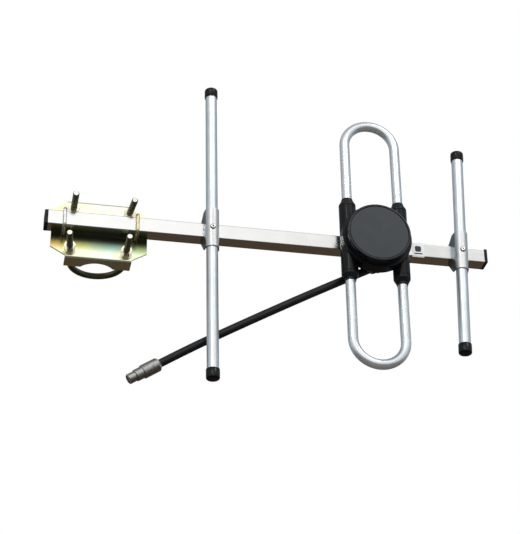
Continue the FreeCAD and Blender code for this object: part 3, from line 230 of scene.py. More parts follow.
# PVC jacket of the half-wave line: plain brown, half glossy
brownJacket = moulded("brownJacket", ("#7a4d27", "#8a5a30"), (0.3, 0.4), 0.6, 0.01)


plating = {
    # pits, made coarser than real ones so that they show
    "pit": 1.6,
    "pitStrength": 0.2,
}


def plated(name, stops, roughness, spread, pitDepth=0.004):
    # plated metal or plain steel: small drifts of colour over bright metal, with shallow pits
    material, tree, shader, place = newMaterial(name)
    drift = addNode(tree, "ShaderNodeTexNoise", {"Vector": place, "Scale": 1 / spread, "Detail": 3.0})
    tint = addNode(tree, "ShaderNodeValToRGB", {"Fac": drift}, stops)
    low, high = roughness
    polish = addNode(tree, "ShaderNodeMapRange", {"Value": drift, "To Min": low, "To Max": high})
    pits = addNode(tree, "ShaderNodeTexNoise", {"Vector": place, "Scale": 1 / plating["pit"], "Detail": 2.0})
    relief = addNode(tree, "ShaderNodeBump", {
        "Height": pits, "Distance": pitDepth * mm, "Strength": plating["pitStrength"],
    })
    plugIn(tree, shader, {"Metallic": 1.0, "Base Color": tint, "Roughness": polish, "Normal": relief})
    return material


# nuts and washers: pale straw zinc, the brightest metal of the clamp
brightZinc = plated("brightZinc", [(0.3, "#efe9d2"), (0.55, "#f7f3e2"), (0.75, "#dcd3a8")], (0.16, 0.3), 5)
# the boom's rear U-bolt: clear zinc, satin silver
silverZinc = plated("silverZinc", [(0.3, "#e2e1dc"), (0.7, "#ecebe7")], (0.34, 0.42), 6, 0.001)
# the boom's front U-bolt: yellow zinc, satin gold
goldenZinc = plated("goldenZinc", [(0.3, "#dccf9c"), (0.7, "#ebe0b4")], (0.34, 0.42), 6, 0.001)
# the large U-bolts: olive zinc, dull and dark
oliveZinc = plated("oliveZinc", [(0.3, "#67664f"), (0.55, "#77755d"), (0.75, "#565542")], (0.24, 0.38), 6)
# the connector: nickel over brass, gunmetal grey with a warm tone
darkNickel = plated("darkNickel", [(0.3, "#a2a3a4"), (0.55, "#b8b6b0"), (0.75, "#8f9296")], (0.2, 0.32), 7)
# screws, rivet heads and cut bolt ends: bright steel, nearly white; and a painted highlight on the edge of the
# connector's nut
brightSteelAndHighlight = plated("brightSteelAndHighlight", [(0.3, "#eceae6"), (0.7, "#f8f6f2")], (0.18, 0.28), 5)
# broken end of the rivets' mandrel: dark grey steel; also painted shade on the walls of the mandrel's hole and
# round the rim of each rivet head
mandrelAndPaintedShade = plated("mandrelAndPaintedShade", [(0.3, "#454543"), (0.7, "#5a5957")], (0.24, 0.34), 3)
# gold over brass on the contact and the straps: warm and bright
goldPlate = plated("goldPlate", [(0.3, "#d9b260"), (0.7, "#e8c883")], (0.14, 0.24), 5)

plateChromate = {
    # passivated zinc on the clamp plate: the tint drifts from straw at its left to green at its right
    "from": -50.0,  # along X, after the noise has moved it by up to the drift
    "to": 74.0,
    "drift": 24.0,
    "driftSize": 26,
    "tints": [
        (0.0, "#fbf0c0"), (0.16, "#fcfbd8"), (0.42, "#fbfdea"), (0.58, "#f2fbf2"), (0.74, "#fafce6"),
        (1.0, "#f4f9e0"),
    ],
    # thin-film colours in a band across the plate, below the boom
    "filmTints": [
        (0.0, "#f3c463"), (0.14, "#f0df80"), (0.32, "#e6ea92"), (0.46, "#cfe9ba"), (0.62, "#b6e6dc"),
        (0.80, "#c9e8b0"), (1.0, "#cde79c"),
    ],
    "film": {"middle": -25.0, "half": 11.0},
    # and painted shade close under the boom: a dark band standing for the boom's dark underside mirrored in the
    # plate
    "underBoomShadeTint": "#45473c",
    "underBoomShade": {"middle": -13.5, "half": 23.0},
    "clouds": [(0.3, "#f6f4e6"), (0.7, "#ffffff")],
    "cloudSize": 9,
    "roughness": (0.2, 0.3),
    "grainSize": 1.2,  # made coarser than the real grain so that it shows
    "grainDepth": 0.015,
    "grainStrength": 0.3,
}


def plateBand(tree, height, band):
    # 1 in the middle of a band across the plate, 0 past its edges
    offset = addNode(tree, "ShaderNodeMath", {0: height, 1: band["middle"]}, operation="SUBTRACT")
    away = addNode(tree, "ShaderNodeMath", {0: offset}, operation="ABSOLUTE")
    return addNode(tree, "ShaderNodeMapRange", {
        "Value": away, "From Max": band["half"], "To Min": 1.0, "To Max": 0.0,
    }, interpolation_type="SMOOTHSTEP")


def yellowZinc():
    # yellow passivated zinc: a thin film whose colour changes with its thickness, over a satin metal, darkened
    # close under the boom by painted shade
    material, tree, shader, place = newMaterial("yellowZinc")
    split = addNode(tree, "ShaderNodeSeparateXYZ", {0: place})
    drift = addNode(tree, "ShaderNodeTexNoise", {
        "Vector": place, "Scale": 1 / plateChromate["driftSize"], "Detail": 4.0,
    })
    shifted = addNode(tree, "ShaderNodeMath", {
        0: drift, 1: plateChromate["drift"], 2: split.outputs["X"],
    }, operation="MULTIPLY_ADD")
    along = addNode(tree, "ShaderNodeMapRange", {
        "Value": shifted, "From Min": plateChromate["from"], "From Max": plateChromate["to"],
    })
    plain = addNode(tree, "ShaderNodeValToRGB", {"Fac": along}, plateChromate["tints"])
    film = addNode(tree, "ShaderNodeValToRGB", {"Fac": along}, plateChromate["filmTints"])
    filmBand = plateBand(tree, split.outputs["Z"], plateChromate["film"])
    tints = addNode(tree, "ShaderNodeMix", {0: filmBand, 6: plain, 7: film}, data_type="RGBA").outputs[2]
    # painted shade and painted reflection: a darker band across the plate, close under the boom
    underBoomShadeMask = plateBand(tree, split.outputs["Z"], plateChromate["underBoomShade"])
    paintedShade = addNode(tree, "ShaderNodeMix", {
        0: underBoomShadeMask, 6: "#ffffff", 7: plateChromate["underBoomShadeTint"],
    }, data_type="RGBA").outputs[2]
    patches = addNode(tree, "ShaderNodeTexNoise", {
        "Vector": place, "Scale": 1 / plateChromate["cloudSize"], "Detail": 4.0,
    })
    clouds = addNode(tree, "ShaderNodeValToRGB", {"Fac": patches}, plateChromate["clouds"])
    for layer in (paintedShade, clouds.outputs[0]):
        tints = addNode(tree, "ShaderNodeMix", {
            0: 1.0, 6: tints, 7: layer,
        }, data_type="RGBA", blend_type="MULTIPLY").outputs[2]
    low, high = plateChromate["roughness"]
    polish = addNode(tree, "ShaderNodeMapRange", {"Value": drift, "To Min": low, "To Max": high})
    grain = addNode(tree, "ShaderNodeTexNoise", {
        "Vector": place, "Scale": 1 / plateChromate["grainSize"], "Detail": 2.0,
    })
    relief = addNode(tree, "ShaderNodeBump", {
        "Height": grain,
        "Distance": plateChromate["grainDepth"] * mm,
        "Strength": plateChromate["grainStrength"],
    })
    plugIn(tree, shader, {"Metallic": 1.0, "Base Color": tints, "Roughness": polish, "Normal": relief})
    return material


passivatedPlate = yellowZinc()
print("materials made")

nodeFinish = {
    "boom": extrudedAluminium,
    "boom_plug_rear": blackPolyethylene,
    "boom_plug_front": blackPolyethylene,
    "reflector_tube": anodisedTube,
    "reflector_cap_top": blackPolyethylene,
    "reflector_cap_bottom": blackPolyethylene,
    "reflector_saddle": pressedAluminium,
    "reflector_rivet": brightSteelAndHighlight,
    "director_tube": anodisedTube,
    "director_cap_top": blackPolyethylene,
    "director_cap_bottom": blackPolyethylene,
    "director_saddle": pressedAluminium,
    "director_rivet": brightSteelAndHighlight,
    "dipole_loop": brightTube,
    "leg_seal_rear_upper": mouldedRubber,
    "leg_seal_rear_lower": mouldedRubber,
    "leg_seal_front_upper": mouldedRubber,
    "leg_seal_front_lower": mouldedRubber,
    "feed_housing": blackAbs,
    "lid_gasket": mouldedRubber,
    "feed_lid": glossyAbs,
    "matching_board": greenLaminate,
    "board_screws": brightSteelAndHighlight,
    "feed_strap_upper": goldPlate,
    "feed_strap_lower": goldPlate,
    "strap_screws": brightSteelAndHighlight,
    "half_wave_line": brownJacket,
    "housing_screws": brightSteelAndHighlight,
    "gland_nut": blackPolyethylene,
    "gland_seal": mouldedRubber,
    "cable_inner_end": pvcJacket,
    "connector_clamp_nut": darkNickel,
    "connector_body": darkNickel,
    "connector_insulator": whitePtfe,
    "connector_contact": goldPlate,
    "clamp_plate": passivatedPlate,
    "mast_u_bolt_upper": oliveZinc,
    "mast_u_bolt_lower": oliveZinc,
    "mast_washers": brightZinc,
    "mast_spring_washers": brightZinc,
    "mast_nuts": brightZinc,
    "boom_u_bolt_rear": silverZinc,
    "boom_u_bolt_front": goldenZinc,
    "boom_bolt_washers": brightZinc,
    "boom_bolt_nuts": brightZinc,
}
for name, material in nodeFinish.items():
    nodes[name].data.materials.clear()
    nodes[name].data.materials.append(material)


# Helpers for the pieces. Shapes are made in millimetres and brought to metres as they are finished.
def softened(corners, steps=4):
    # corners are (radius, height, rounding)
    points = []
    for index, (radius, height, rounding) in enumerate(corners):
        here = Vector((radius, 0, height))
        if rounding == 0:
            points.append(here)
            continue
        last, following = corners[index - 1], corners[(index + 1) % len(corners)]
        start = here + (Vector((last[0], 0, last[1])) - here).normalized() * rounding
        end = here + (Vector((following[0], 0, following[1])) - here).normalized() * rounding
        for k in range(steps + 1):
            t = k / steps
            points.append(start * (1 - t) ** 2 + here * 2 * t * (1 - t) + end * t ** 2)
    return points


def turned(profile, segments, closed=True):
    shape = bmesh.new()
    verts = [shape.verts.new(point) for point in profile]
    edges = [shape.edges.new(pair) for pair in zip(verts, verts[1:])]
    if closed:
        edges.append(shape.edges.new((verts[-1], verts[0])))
    bmesh.ops.spin(
        shape, geom=verts + edges, cent=(0, 0, 0), axis=(0, 0, 1), dvec=(0, 0, 0),
        angle=2 * math.pi, steps=segments, use_merge=True,
    )
    bmesh.ops.remove_doubles(shape, verts=shape.verts[:], dist=0.001)
    bmesh.ops.recalc_face_normals(shape, faces=shape.faces[:])
    return shape


def seat(point, direction):
    # point in millimetres; the shape's own Z goes along direction
    turn = Vector(direction).to_track_quat("Z", "Y").to_matrix().to_4x4()
    return Matrix.Translation(Vector(point) * mm) @ turn


def finishPiece(shape, name, materials, node, place, sharp=35):
    bmesh.ops.transform(shape, verts=shape.verts[:], matrix=place @ Matrix.Scale(mm, 4))
    for face in shape.faces:
        face.smooth = True
    mesh = bpy.data.meshes.new(name)
    shape.to_mesh(mesh)
    shape.free()
    mesh.set_sharp_from_angle(angle=math.radians(sharp))
    for material in materials:
        mesh.materials.append(material)
    item = bpy.data.objects.new(name, mesh)
    bpy.context.scene.collection.objects.link(item)
    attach(item, "root")
    if node:
        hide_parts(node)
    return item


elements = {
    # middle of the turn on each rivet, half length of the tube and the turn itself
    "reflector": {"x": 139.0, "half": 210.75, "tilt": -0.5},
    "director": {"x": 465.4, "half": 149.3, "tilt": 2.1},
    "y": -62.2,
    "rivetZ": -3.5,
}
cap = {
    # push-on cap, measured from the end of its tube: closed end, then down to its mouth
    "corners": [
        (0, 2.0, 0), (8.55, 2.0, 2.5), (8.55, -9.6, 0), (8.4, -9.9, 0.1), (8.55, -10.2, 0), (8.55, -11.0, 0.3),
        (7.55, -11.0, 0), (7.55, 0, 0), (0, 0, 0),
    ],
    "segments": 64,
}


def makeCap(element, end, side):
    row = elements[element]
    tilt = math.radians(row["tilt"])
    along = Vector((math.sin(tilt), 0, math.cos(tilt)))
    reach = side * row["half"] - elements["rivetZ"]
    tubeEnd = Vector((row["x"], elements["y"], elements["rivetZ"])) + along * reach
    shape = turned(softened(cap["corners"], steps=6), cap["segments"], closed=False)
    finishPiece(
        shape, element + "Cap" + end.capitalize(), [blackPolyethylene], element + "_cap_" + end,
        seat(tubeEnd, along * side),
    )


for element in ("reflector", "director"):
    makeCap(element, "top", 1)
    makeCap(element, "bottom", -1)
print("caps made")

rivet = {
    # blind rivet along its axis from the rim of its head: button head with the mandrel's hole, shank, bulb
    "rimY": -71.9,
    "corners": [
        (0, -7.9, 0), (1.1, -7.9, 0), (1.1, 1.02, 0.1), (1.9, 1.1, 0.2), (2.9, 0.95, 0.7), (3.6, 0.1, 0.3),
        (3.6, -1.4, 0), (2.0, -1.4, 0), (2.0, -18.75, 0), (3.2, -18.75, 0.4), (3.2, -21.75, 1.0),
        (0, -21.75, 0),
    ],
    "segments": 40,
    "bright": (1.1, 2.75),  # the radii between which it shines; inside them the mandrel's hole is dark, and outside them the head's rim is dark with painted shade
}


def makeRivet(element):
    shape = turned(softened(rivet["corners"]), rivet["segments"], closed=False)
    # faces outside the bright radii get painted shade: the dark crescent round the head's rim, and the hole,
    # which also holds the mandrel's dark steel
    for face in shape.faces:
        out = face.calc_center_median().xy.length
        face.material_index = 0 if rivet["bright"][0] < out < rivet["bright"][1] else 1
    place = seat((elements[element]["x"], rivet["rimY"], elements["rivetZ"]), (0, -1, 0))
    metals = [brightSteelAndHighlight, mandrelAndPaintedShade]
    finishPiece(shape, element + "Rivet", metals, element + "_rivet", place, sharp=50)


for element in ("reflector", "director"):
    makeRivet(element)
print("rivets set")

# where the dipole's legs leave the housing's sleeves
legs = {"rear": 315.15, "front": 382.85, "y": -65.85, "housingZ": -2.7, "sleeveReach": 48.5}
seal = {
    # stepped rubber collar, from inside its sleeve to the lip on the tube
    "corners": [
        (6.55, -7, 0), (8.75, -7, 0.4), (8.75, 0, 0), (11.0, 0, 0.5), (11.0, 3.4, 1.2), (9.3, 6.2, 0.8),
        (8.55, 8.1, 0.8), (7.45, 8.1, 0.3), (7.45, 11.8, 0.45), (6.55, 11.8, 0),
    ],
    "segments": 64,
}


def makeSeal(leg, end, side):
    place = (legs[leg], legs["y"], legs["housingZ"] + side * legs["sleeveReach"])
    finishPiece(
        turned(softened(seal["corners"]), seal["segments"]), "legSeal" + leg.capitalize() + end.capitalize(),
        [mouldedRubber], "leg_seal_" + leg + "_" + end, seat(place, (0, 0, side)),
    )


for leg in ("rear", "front"):
    makeSeal(leg, "upper", 1)
    makeSeal(leg, "lower", -1)
print("seals made")

lid = {
    # from the skirt's back edge to the front: a satin face, sunk a little, in a glossy rounded rim
    "place": (349.0, -81.95, -2.7),
    "corners": [
        (0, 10.6, 0), (37.8, 10.6, 0.12), (37.9, 9.0, 0), (38.85, 9.0, 0), (38.95, 11.0, 0.1),
        (39.8, 11.0, 0), (41.3, 11.0, 1.2), (41.3, 0, 0.3), (39.8, 0, 0), (39.8, 8.2, 0), (0, 8.2, 0),
    ],
    "segments": 240,
    "front": 9,  # faces above this height belong to the front
    "faceRadius": 37.8,
    "edge": (38.95, 39.8),  # a narrow ring on the rim's flat front, given the face's lighter satin finish as a painted highlight line
    "notchAngles": (156, 336),
    "notchWidth": 5.0,
    "notchDepth": 0.9,
}


def makeLid():
    shape = turned(softened(lid["corners"], steps=6), lid["segments"], closed=False)
    floor = max(radius for radius, height, rounding in lid["corners"]) - lid["notchDepth"]
    for angle in lid["notchAngles"]:
        axis = Vector((math.cos(math.radians(angle)), math.sin(math.radians(angle)), 0))
        across = axis.cross(Vector((0, 0, 1)))
        for vert in shape.verts:
            inNotch = vert.co.dot(axis) > 0 and abs(vert.co.dot(across)) < lid["notchWidth"] / 2
            if inNotch and vert.co.xy.length > floor:
                vert.co.xy = vert.co.xy.normalized() * floor
    for face in shape.faces:
        middle = face.calc_center_median()
        out = middle.xy.length
        # the face is satin; the narrow ring on the rim gets the same lighter grey as a painted highlight line
        satinOrHighlight = out < lid["faceRadius"] or lid["edge"][0] < out < lid["edge"][1]
        face.material_index = 1 if middle.z > lid["front"] and satinOrHighlight else 0
    place = Matrix.Translation(Vector(lid["place"]) * mm) @ Matrix.Rotation(math.pi / 2, 4, "X")
    finishPiece(shape, "feedLid", [glossyAbs, satinAbs], "feed_lid", place)


makeLid()
print("lid made")

mastBolt = {
    # plain bent shank with rolled threads on both ends, opened a little and askew in its holes
    "radius": 4.0,
    "legs": 35.0,
    "legsAtY": -33.4,
    "splay": 2.6,
    "tipY": -76.15,
    "bendY": -5.4459,
    "bendRadius": 33.6959,
    "pivotY": -13.3,
    "pitch": 1.25,
    "threadDepth": 0.62,
    "crest": (0.42, 0.58),  # start and end of the thread's crest, in pitches
    "threadLength": 47.0,
    "tipEdge": 0.9,
    "tipTaper": 0.8,
    "segments": 28,
    "bendSteps": 40,
    "bolts": {"upper": (22.5, 2.4), "lower": (-33.0, -2.4)},  # height, and turn in its holes in degrees
}


def threadedRod():
    # a spin that climbs one pitch in one turn joins into the whole thread, and is then cut square
    pitch, radius = mastBolt["pitch"], mastBolt["radius"]
    root = radius - mastBolt["threadDepth"]
    length = mastBolt["threadLength"] - mastBolt["tipEdge"]
    shape = bmesh.new()
    ridge = [(root, 0)] + [(radius, height) for height in mastBolt["crest"]]
    verts = []
    for k in range(-2, int(length / pitch) + 3):
        verts += [shape.verts.new((out, 0, (k + height) * pitch)) for out, height in ridge]
    edges = [shape.edges.new(pair) for pair in zip(verts, verts[1:])]
    steps = mastBolt["segments"]
    bmesh.ops.spin(
        shape, geom=verts + edges, cent=(0, 0, 0), axis=(0, 0, 1), dvec=(0, 0, pitch / steps),
        angle=2 * math.pi, steps=steps, use_merge=False,
    )
    bmesh.ops.remove_doubles(shape, verts=shape.verts[:], dist=0.001)
    for height, out in ((0, -1), (length, 1)):
        bmesh.ops.bisect_plane(
            shape, geom=shape.verts[:] + shape.edges[:] + shape.faces[:], dist=0.0001,
            plane_co=(0, 0, height), plane_no=(0, 0, out), clear_outer=True,
        )
    bmesh.ops.holes_fill(shape, edges=[e for e in shape.edges if e.is_boundary], sides=0)
    bmesh.ops.recalc_face_normals(shape, faces=shape.faces[:])
    tip = max(shape.faces, key=lambda f: f.calc_center_median().z)
    end = bmesh.ops.extrude_discrete_faces(shape, faces=[tip])["faces"][0]
    bmesh.ops.translate(shape, verts=end.verts[:], vec=(0, 0, mastBolt["tipEdge"]))
    bmesh.ops.scale(shape, verts=end.verts[:], vec=(mastBolt["tipTaper"], mastBolt["tipTaper"], 1))
    end.material_index = 1
    return shape


def bentShank(threadEnd, bendStart):
    # one leg's plain part, the bend and the other leg's plain part
    shape = bmesh.new()
    ring = bmesh.ops.create_circle(
        shape, cap_ends=False, radius=mastBolt["radius"], segments=mastBolt["segments"],
    )
    turn = (bendStart - threadEnd).to_track_quat("Z", "Y").to_matrix().to_4x4()
    bmesh.ops.transform(shape, verts=ring["verts"], matrix=Matrix.Translation(threadEnd) @ turn)
    shank = bmesh.ops.extrude_edge_only(shape, edges=shape.edges[:])["geom"]
    rim = [g for g in shank if isinstance(g, bmesh.types.BMVert)]
    bmesh.ops.translate(shape, verts=rim, vec=bendStart - threadEnd)
    rimEdges = [e for e in shape.edges if e.verts[0] in rim and e.verts[1] in rim]
    splay = math.radians(mastBolt["splay"])
    last = bmesh.ops.spin(
        shape, geom=rim + rimEdges, cent=(0, mastBolt["bendY"], 0), axis=(0, 0, 1), dvec=(0, 0, 0),
        angle=math.pi - 2 * splay, steps=mastBolt["bendSteps"],
    )["geom_last"]
    rim = [g for g in last if isinstance(g, bmesh.types.BMVert)]
    rimEdges = [g for g in last if isinstance(g, bmesh.types.BMEdge)]
    leg = bmesh.ops.extrude_edge_only(shape, edges=rimEdges)["geom"]
    rim = [g for g in leg if isinstance(g, bmesh.types.BMVert)]
    back = threadEnd - bendStart
    bmesh.ops.translate(shape, verts=rim, vec=(-back.x, back.y, back.z))
    bmesh.ops.holes_fill(shape, edges=[e for e in shape.edges if e.is_boundary], sides=0)
    bmesh.ops.recalc_face_normals(shape, faces=shape.faces[:])
    return shape


def makeMastBolt(end):
    height, turn = mastBolt["bolts"][end]
    splay = math.radians(mastBolt["splay"])
    tipX = mastBolt["legs"] + (mastBolt["legsAtY"] - mastBolt["tipY"]) * math.tan(splay)
    tip = Vector((tipX, mastBolt["tipY"], 0))
    bend = mastBolt["bendRadius"]
    bendStart = Vector((bend * math.cos(splay), mastBolt["bendY"] + bend * math.sin(splay), 0))
    threadEnd = tip + (bendStart - tip).normalized() * mastBolt["threadLength"]
    whole = bentShank(threadEnd, bendStart)
    for side in (1, -1):
        rod = threadedRod()
        foot = Vector((side * threadEnd.x, threadEnd.y, 0))
        direction = Vector((side * (tip.x - threadEnd.x), tip.y - threadEnd.y, 0))
        turnOver = direction.to_track_quat("Z", "Y").to_matrix().to_4x4()
        bmesh.ops.transform(rod, verts=rod.verts[:], matrix=Matrix.Translation(foot) @ turnOver)
        part = bpy.data.meshes.new("threadedRod")
        rod.to_mesh(part)
        rod.free()
        whole.from_mesh(part)
        bpy.data.meshes.remove(part)
    pivot = Vector((0, mastBolt["pivotY"], 0)) * mm
    askew = Matrix.Translation(pivot) @ Matrix.Rotation(math.radians(turn), 4, "Z") @ Matrix.Translation(-pivot)
    place = Matrix.Translation((0, 0, height * mm)) @ askew
    name = "mastBolt" + end.capitalize()
    finishPiece(whole, name, [oliveZinc, brightSteelAndHighlight], "mast_u_bolt_" + end, place, sharp=28)


makeMastBolt("upper")
makeMastBolt("lower")
print("mast bolts made")

label = {
    # thin vinyl label on the boom's front, folded under its lower edge
    "fromX": 402.6,
    "toX": 418.4,
    "front": -54.65,
    "top": 8.4,
    "bottom": -10.0,
    "foldTo": -52.4,
    "corner": 1.2,
    "foldSteps": 6,
    "thickness": 0.12,
    "lift": 0.01,
    "mark": {"x": 410.2, "z": 0.8, "half": (4.1, 4.3)},
    "bar": {"x": 410.6, "z": -6.2, "half": (5.6, 1.0)},
    "white": [(0.3, "#f6f5f2"), (0.7, "#fcfbf9")],
    "ink": "#26292d",
    "cloud": 7,
    "roughness": (0.3, 0.42),
    "wear": 4,
    "grainSize": 1.5,  # made coarser than the real grain so that it shows
    "grainDepth": 0.01,
    "grainStrength": 0.3,
    "ior": 1.46,
}


def markMask(tree, place, mark):
    # 1 inside a small block of colour with soft corners
    centre = (-mark["x"], 0, -mark["z"])
    halves = (1 / mark["half"][0], 0, 1 / mark["half"][1])
    moved = addNode(tree, "ShaderNodeVectorMath", {0: place, 1: centre}, operation="ADD")
    sized = addNode(tree, "ShaderNodeVectorMath", {0: moved, 1: halves}, operation="MULTIPLY")
    squared = addNode(tree, "ShaderNodeVectorMath", {0: sized, 1: sized}, operation="MULTIPLY")
    power = addNode(tree, "ShaderNodeVectorMath", {0: squared, 1: squared}, operation="DOT_PRODUCT")
    return addNode(tree, "ShaderNodeMath", {0: power.outputs["Value"], 1: 1.0}, operation="LESS_THAN")


def printedVinyl():
    # white vinyl: a slight gloss, printed with a dark block and a bar
    material, tree, shader, place = newMaterial("printedVinyl")
    wide = addNode(tree, "ShaderNodeTexNoise", {"Vector": place, "Scale": 1 / label["cloud"], "Detail": 3.0})
    white = addNode(tree, "ShaderNodeValToRGB", {"Fac": wide}, label["white"])
    block, bar = (markMask(tree, place, label[key]) for key in ("mark", "bar"))
    printed = addNode(tree, "ShaderNodeMath", {0: block, 1: bar}, operation="MAXIMUM")
    tint = addNode(tree, "ShaderNodeMix", {0: printed, 6: white, 7: label["ink"]}, data_type="RGBA").outputs[2]
    wear = addNode(tree, "ShaderNodeTexNoise", {"Vector": place, "Scale": 1 / label["wear"], "Detail": 3.0})
    low, high = label["roughness"]
    polish = addNode(tree, "ShaderNodeMapRange", {"Value": wear, "To Min": low, "To Max": high})
    grain = addNode(tree, "ShaderNodeTexNoise", {
        "Vector": place, "Scale": 1 / label["grainSize"], "Detail": 3.0,
    })
    relief = addNode(tree, "ShaderNodeBump", {
        "Height": grain, "Distance": label["grainDepth"] * mm, "Strength": label["grainStrength"],
    })
    plugIn(tree, shader, {"IOR": label["ior"], "Base Color": tint, "Roughness": polish, "Normal": relief})
    return material


def makeLabel():
    corner, steps = label["corner"], label["foldSteps"]
    middle = Vector((0, label["front"] + corner, label["bottom"] + corner))

    def path(offset):
        points = [Vector((0, label["front"] - offset, label["top"]))]
        for k in range(steps + 1):
            angle = math.pi / 2 * k / steps
            radius = corner + offset
            points.append(middle + Vector((0, -radius * math.cos(angle), -radius * math.sin(angle))))
        return points + [Vector((0, label["foldTo"], label["bottom"] - offset))]

    shape = bmesh.new()
    outline = [shape.verts.new(p) for p in path(label["thickness"]) + path(label["lift"])[::-1]]
    face = shape.faces.new(outline)
    side = bmesh.ops.extrude_face_region(shape, geom=[face])["geom"]
    width = label["toX"] - label["fromX"]
    bmesh.ops.translate(shape, verts=[g for g in side if isinstance(g, bmesh.types.BMVert)], vec=(width, 0, 0))
    bmesh.ops.recalc_face_normals(shape, faces=shape.faces[:])
    place = Matrix.Translation((label["fromX"] * mm, 0, 0))
    finishPiece(shape, "boomLabel", [printedVinyl()], None, place)


makeLabel()
print("label made")

cable = {
    # metres; the route runs from the housing's outlet to the connector's nut
    "diameter": 0.0103,
    "length": 0.3124,
    "route": [
        (0.3474, -0.0467, -0.0309),
        (0.2850, -0.0464, -0.0650),
        (0.2150, -0.0460, -0.1051),
        (0.1500, -0.0456, -0.1434),
        (0.1100, -0.0453, -0.1679),
        (0.0779, -0.0451, -0.1888),
    ],
}


def makeCable():
    curve = bpy.data.curves.new("coaxCable", "CURVE")
    curve.dimensions = "3D"
    curve.resolution_u = 16
    curve.bevel_depth = cable["diameter"] / 2
    curve.bevel_resolution = 10
    spline = curve.splines.new("NURBS")
    spline.points.add(len(cable["route"]) - 1)
    for point, place in zip(spline.points, cable["route"]):
        point.co = (*place, 1)
    spline.order_u = 3
    spline.use_endpoint_u = True
    item = bpy.data.objects.new("coaxCable", curve)
    bpy.context.scene.collection.objects.link(item)
    curve.materials.append(pvcJacket)
    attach(item, "root")
    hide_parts("coax_cable")
    return item


connectorNut = {
    # rear nut of the connector: a broad edge where the cable goes in, painted near-white as a highlight, then a
    # plain barrel
    "corners": [
        (0, 0, 0), (5.4, 0, 0), (6.5, 0.15, 0.3), (8.7, 2.5, 0.5), (8.7, 11.75, 0.2), (8.3, 12.0, 0),
        (0, 12.0, 0),
    ],
    "segments": 64,
    "edge": (0.1, 2.3),  # heights between which the painted highlight is
}


def makeConnectorNut():
    back = Vector(cable["route"][-1])
    shape = turned(softened(connectorNut["corners"]), connectorNut["segments"], closed=False)
    low, high = connectorNut["edge"]
    # the bevelled edge gets bright steel: a painted highlight, standing for the pale light on the nut's rear
    # chamfer
    for face in shape.faces:
        face.material_index = 1 if low < face.calc_center_median().z < high else 0
    place = seat(back / mm, back - Vector(cable["route"][-2]))
    return finishPiece(
        shape, "connectorNut", [darkNickel, brightSteelAndHighlight], "connector_clamp_nut", place,
    )


coaxCable = makeCable()
[makeConnectorNut()] + [nodes["connector_" + n] for n in ("body", "insulator", "contact")]
print("cable laid")

studio = {
    "floorHeight": -1.45,  # metres, under the camera
    "floorSize": 40.0,
    "paper": "#e4e3e1",
    "paperRoughness": 0.9,
    "paperGlow": 0.72,  # share of white that the camera sees on the floor
    "skyColour": "#eef2f7",
    "skyForDiffuse": 1.08,
    # what metal mirrors: a bright wall in front of the object, dimmer and bluer to the sides and behind
    "frontDirection": (-0.139, -0.990, 0.0),
    "wall": [
        (0.0, "#757a80"), (0.17, "#7c8289"), (0.465, "#91979c"), (0.70, "#adb1b4"), (0.87, "#d0d2d3"),
        (0.945, "#cdcdcc"), (0.966, "#ebeae8"), (0.985, "#ffffff"),
    ],
    "wallLevel": 1.27,
    "ground": [(0.0, "#42372c"), (0.5, "#4a423a"), (0.86, "#565650"), (1.0, "#5a5a55")],
    "horizon": (-0.35, 0.08),  # upward parts of a direction between which ground turns to wall
    "overhead": "#8f9398",
    "overheadFrom": (0.62, 0.92),  # and those between which wall turns to overhead
    "key": {"place": (-1.15, -2.75, 1.75), "size": (0.16, 0.9), "power": 7},
    "fill": {"place": (1.9, -2.2, 2.6), "size": (1.2, 1.2), "power": 16},
}
lookAt = Vector((0.2, -0.05, 0))


def aimed(place):
    return Matrix.Translation(place) @ (lookAt - Vector(place)).to_track_quat("-Z", "Y").to_matrix().to_4x4()


def makeFloor():
    # pale paper, a little lit from within for the camera, with the object's soft shadow on it
    material, tree, shader = newMaterial("palePaper")[:3]
    plugIn(tree, shader, {"Roughness": studio["paperRoughness"], "Base Color": studio["paper"]})
    path = addNode(tree, "ShaderNodeLightPath")
    share = addNode(tree, "ShaderNodeMath", {
        0: path.outputs["Is Camera Ray"], 1: studio["paperGlow"],
    }, operation="MULTIPLY")
    white = addNode(tree, "ShaderNodeEmission", {"Color": "#ffffff", "Strength": 1.0})
    mix = addNode(tree, "ShaderNodeMixShader", {0: share, 1: shader, 2: white})
    plugIn(tree, tree.nodes["Material Output"], {"Surface": mix})
    shape = bmesh.new()
    bmesh.ops.create_grid(shape, x_segments=1, y_segments=1, size=studio["floorSize"] / 2)
    bmesh.ops.translate(shape, verts=shape.verts[:], vec=(0, 0, studio["floorHeight"]))
    mesh = bpy.data.meshes.new("studioFloor")
    shape.to_mesh(mesh)
    shape.free()
    mesh.materials.append(material)
    item = bpy.data.objects.new("studioFloor", mesh)
    bpy.context.scene.collection.objects.link(item)
    item.visible_glossy = False


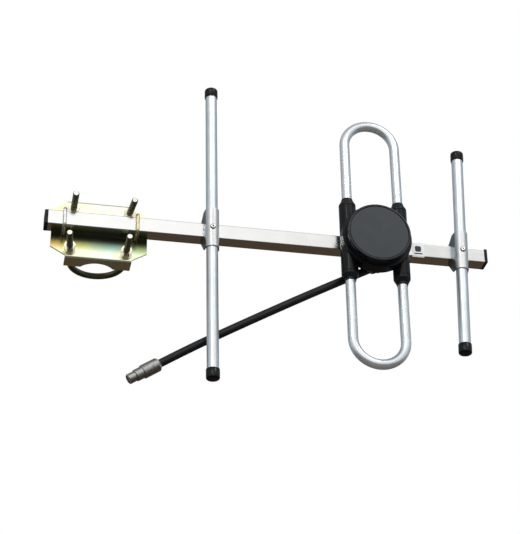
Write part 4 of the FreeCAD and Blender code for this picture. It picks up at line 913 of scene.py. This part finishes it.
def makeWorld():
    # the camera sees white, metal mirrors the wall and the ground, and an even sky lights the object
    world = bpy.data.worlds.new("studioWorld")
    bpy.context.scene.world = world
    world.use_nodes = True
    tree = world.node_tree
    tree.nodes.clear()
    direction = addNode(tree, "ShaderNodeTexCoord").outputs["Generated"]
    height = addNode(tree, "ShaderNodeSeparateXYZ", {0: direction}).outputs["Z"]
    flat = addNode(tree, "ShaderNodeVectorMath", {0: direction, 1: (1, 1, 0)}, operation="MULTIPLY")
    level = addNode(tree, "ShaderNodeVectorMath", {0: flat}, operation="NORMALIZE")
    facing = addNode(tree, "ShaderNodeVectorMath", {
        0: level, 1: studio["frontDirection"],
    }, operation="DOT_PRODUCT").outputs["Value"]
    around = addNode(tree, "ShaderNodeMapRange", {"Value": facing, "From Min": -1.0, "From Max": 1.0})
    upwards = addNode(tree, "ShaderNodeMapRange", {
        "Value": height, "From Min": studio["overheadFrom"][0], "From Max": studio["overheadFrom"][1],
    })
    above = addNode(tree, "ShaderNodeMapRange", {
        "Value": height, "From Min": studio["horizon"][0], "From Max": studio["horizon"][1],
    })
    wall = addNode(tree, "ShaderNodeValToRGB", {"Fac": around}, studio["wall"])
    ground = addNode(tree, "ShaderNodeValToRGB", {"Fac": around}, studio["ground"])
    sky = addNode(tree, "ShaderNodeMix", {
        0: upwards, 6: wall, 7: studio["overhead"],
    }, data_type="RGBA").outputs[2]
    mirrored = addNode(tree, "ShaderNodeMix", {0: above, 6: ground, 7: sky}, data_type="RGBA").outputs[2]
    glossy = addNode(tree, "ShaderNodeBackground", {"Color": mirrored, "Strength": studio["wallLevel"]})
    even = addNode(tree, "ShaderNodeBackground", {
        "Color": studio["skyColour"], "Strength": studio["skyForDiffuse"],
    })
    white = addNode(tree, "ShaderNodeBackground", {"Color": "#ffffff", "Strength": 1.0})
    path = addNode(tree, "ShaderNodeLightPath")
    seen = addNode(tree, "ShaderNodeMath", {
        0: path.outputs["Is Camera Ray"], 1: path.outputs["Is Transmission Ray"],
    }, operation="MAXIMUM")
    lit = addNode(tree, "ShaderNodeMixShader", {0: path.outputs["Is Glossy Ray"], 1: even, 2: glossy})
    mix = addNode(tree, "ShaderNodeMixShader", {0: seen, 1: lit, 2: white})
    addNode(tree, "ShaderNodeOutputWorld", {"Surface": mix})


def makeLamp(name):
    lamp = studio[name]
    data = bpy.data.lights.new(name + "Lamp", "AREA")
    data.shape = "RECTANGLE"
    data.size, data.size_y = lamp["size"]
    data.energy = lamp["power"]
    item = bpy.data.objects.new(name + "Lamp", data)
    bpy.context.scene.collection.objects.link(item)
    item.matrix_world = aimed(lamp["place"])


makeFloor()
makeWorld()
for name in ("key", "fill"):
    makeLamp(name)
bpy.context.scene.view_settings.view_transform = "Standard"
print("studio lit")
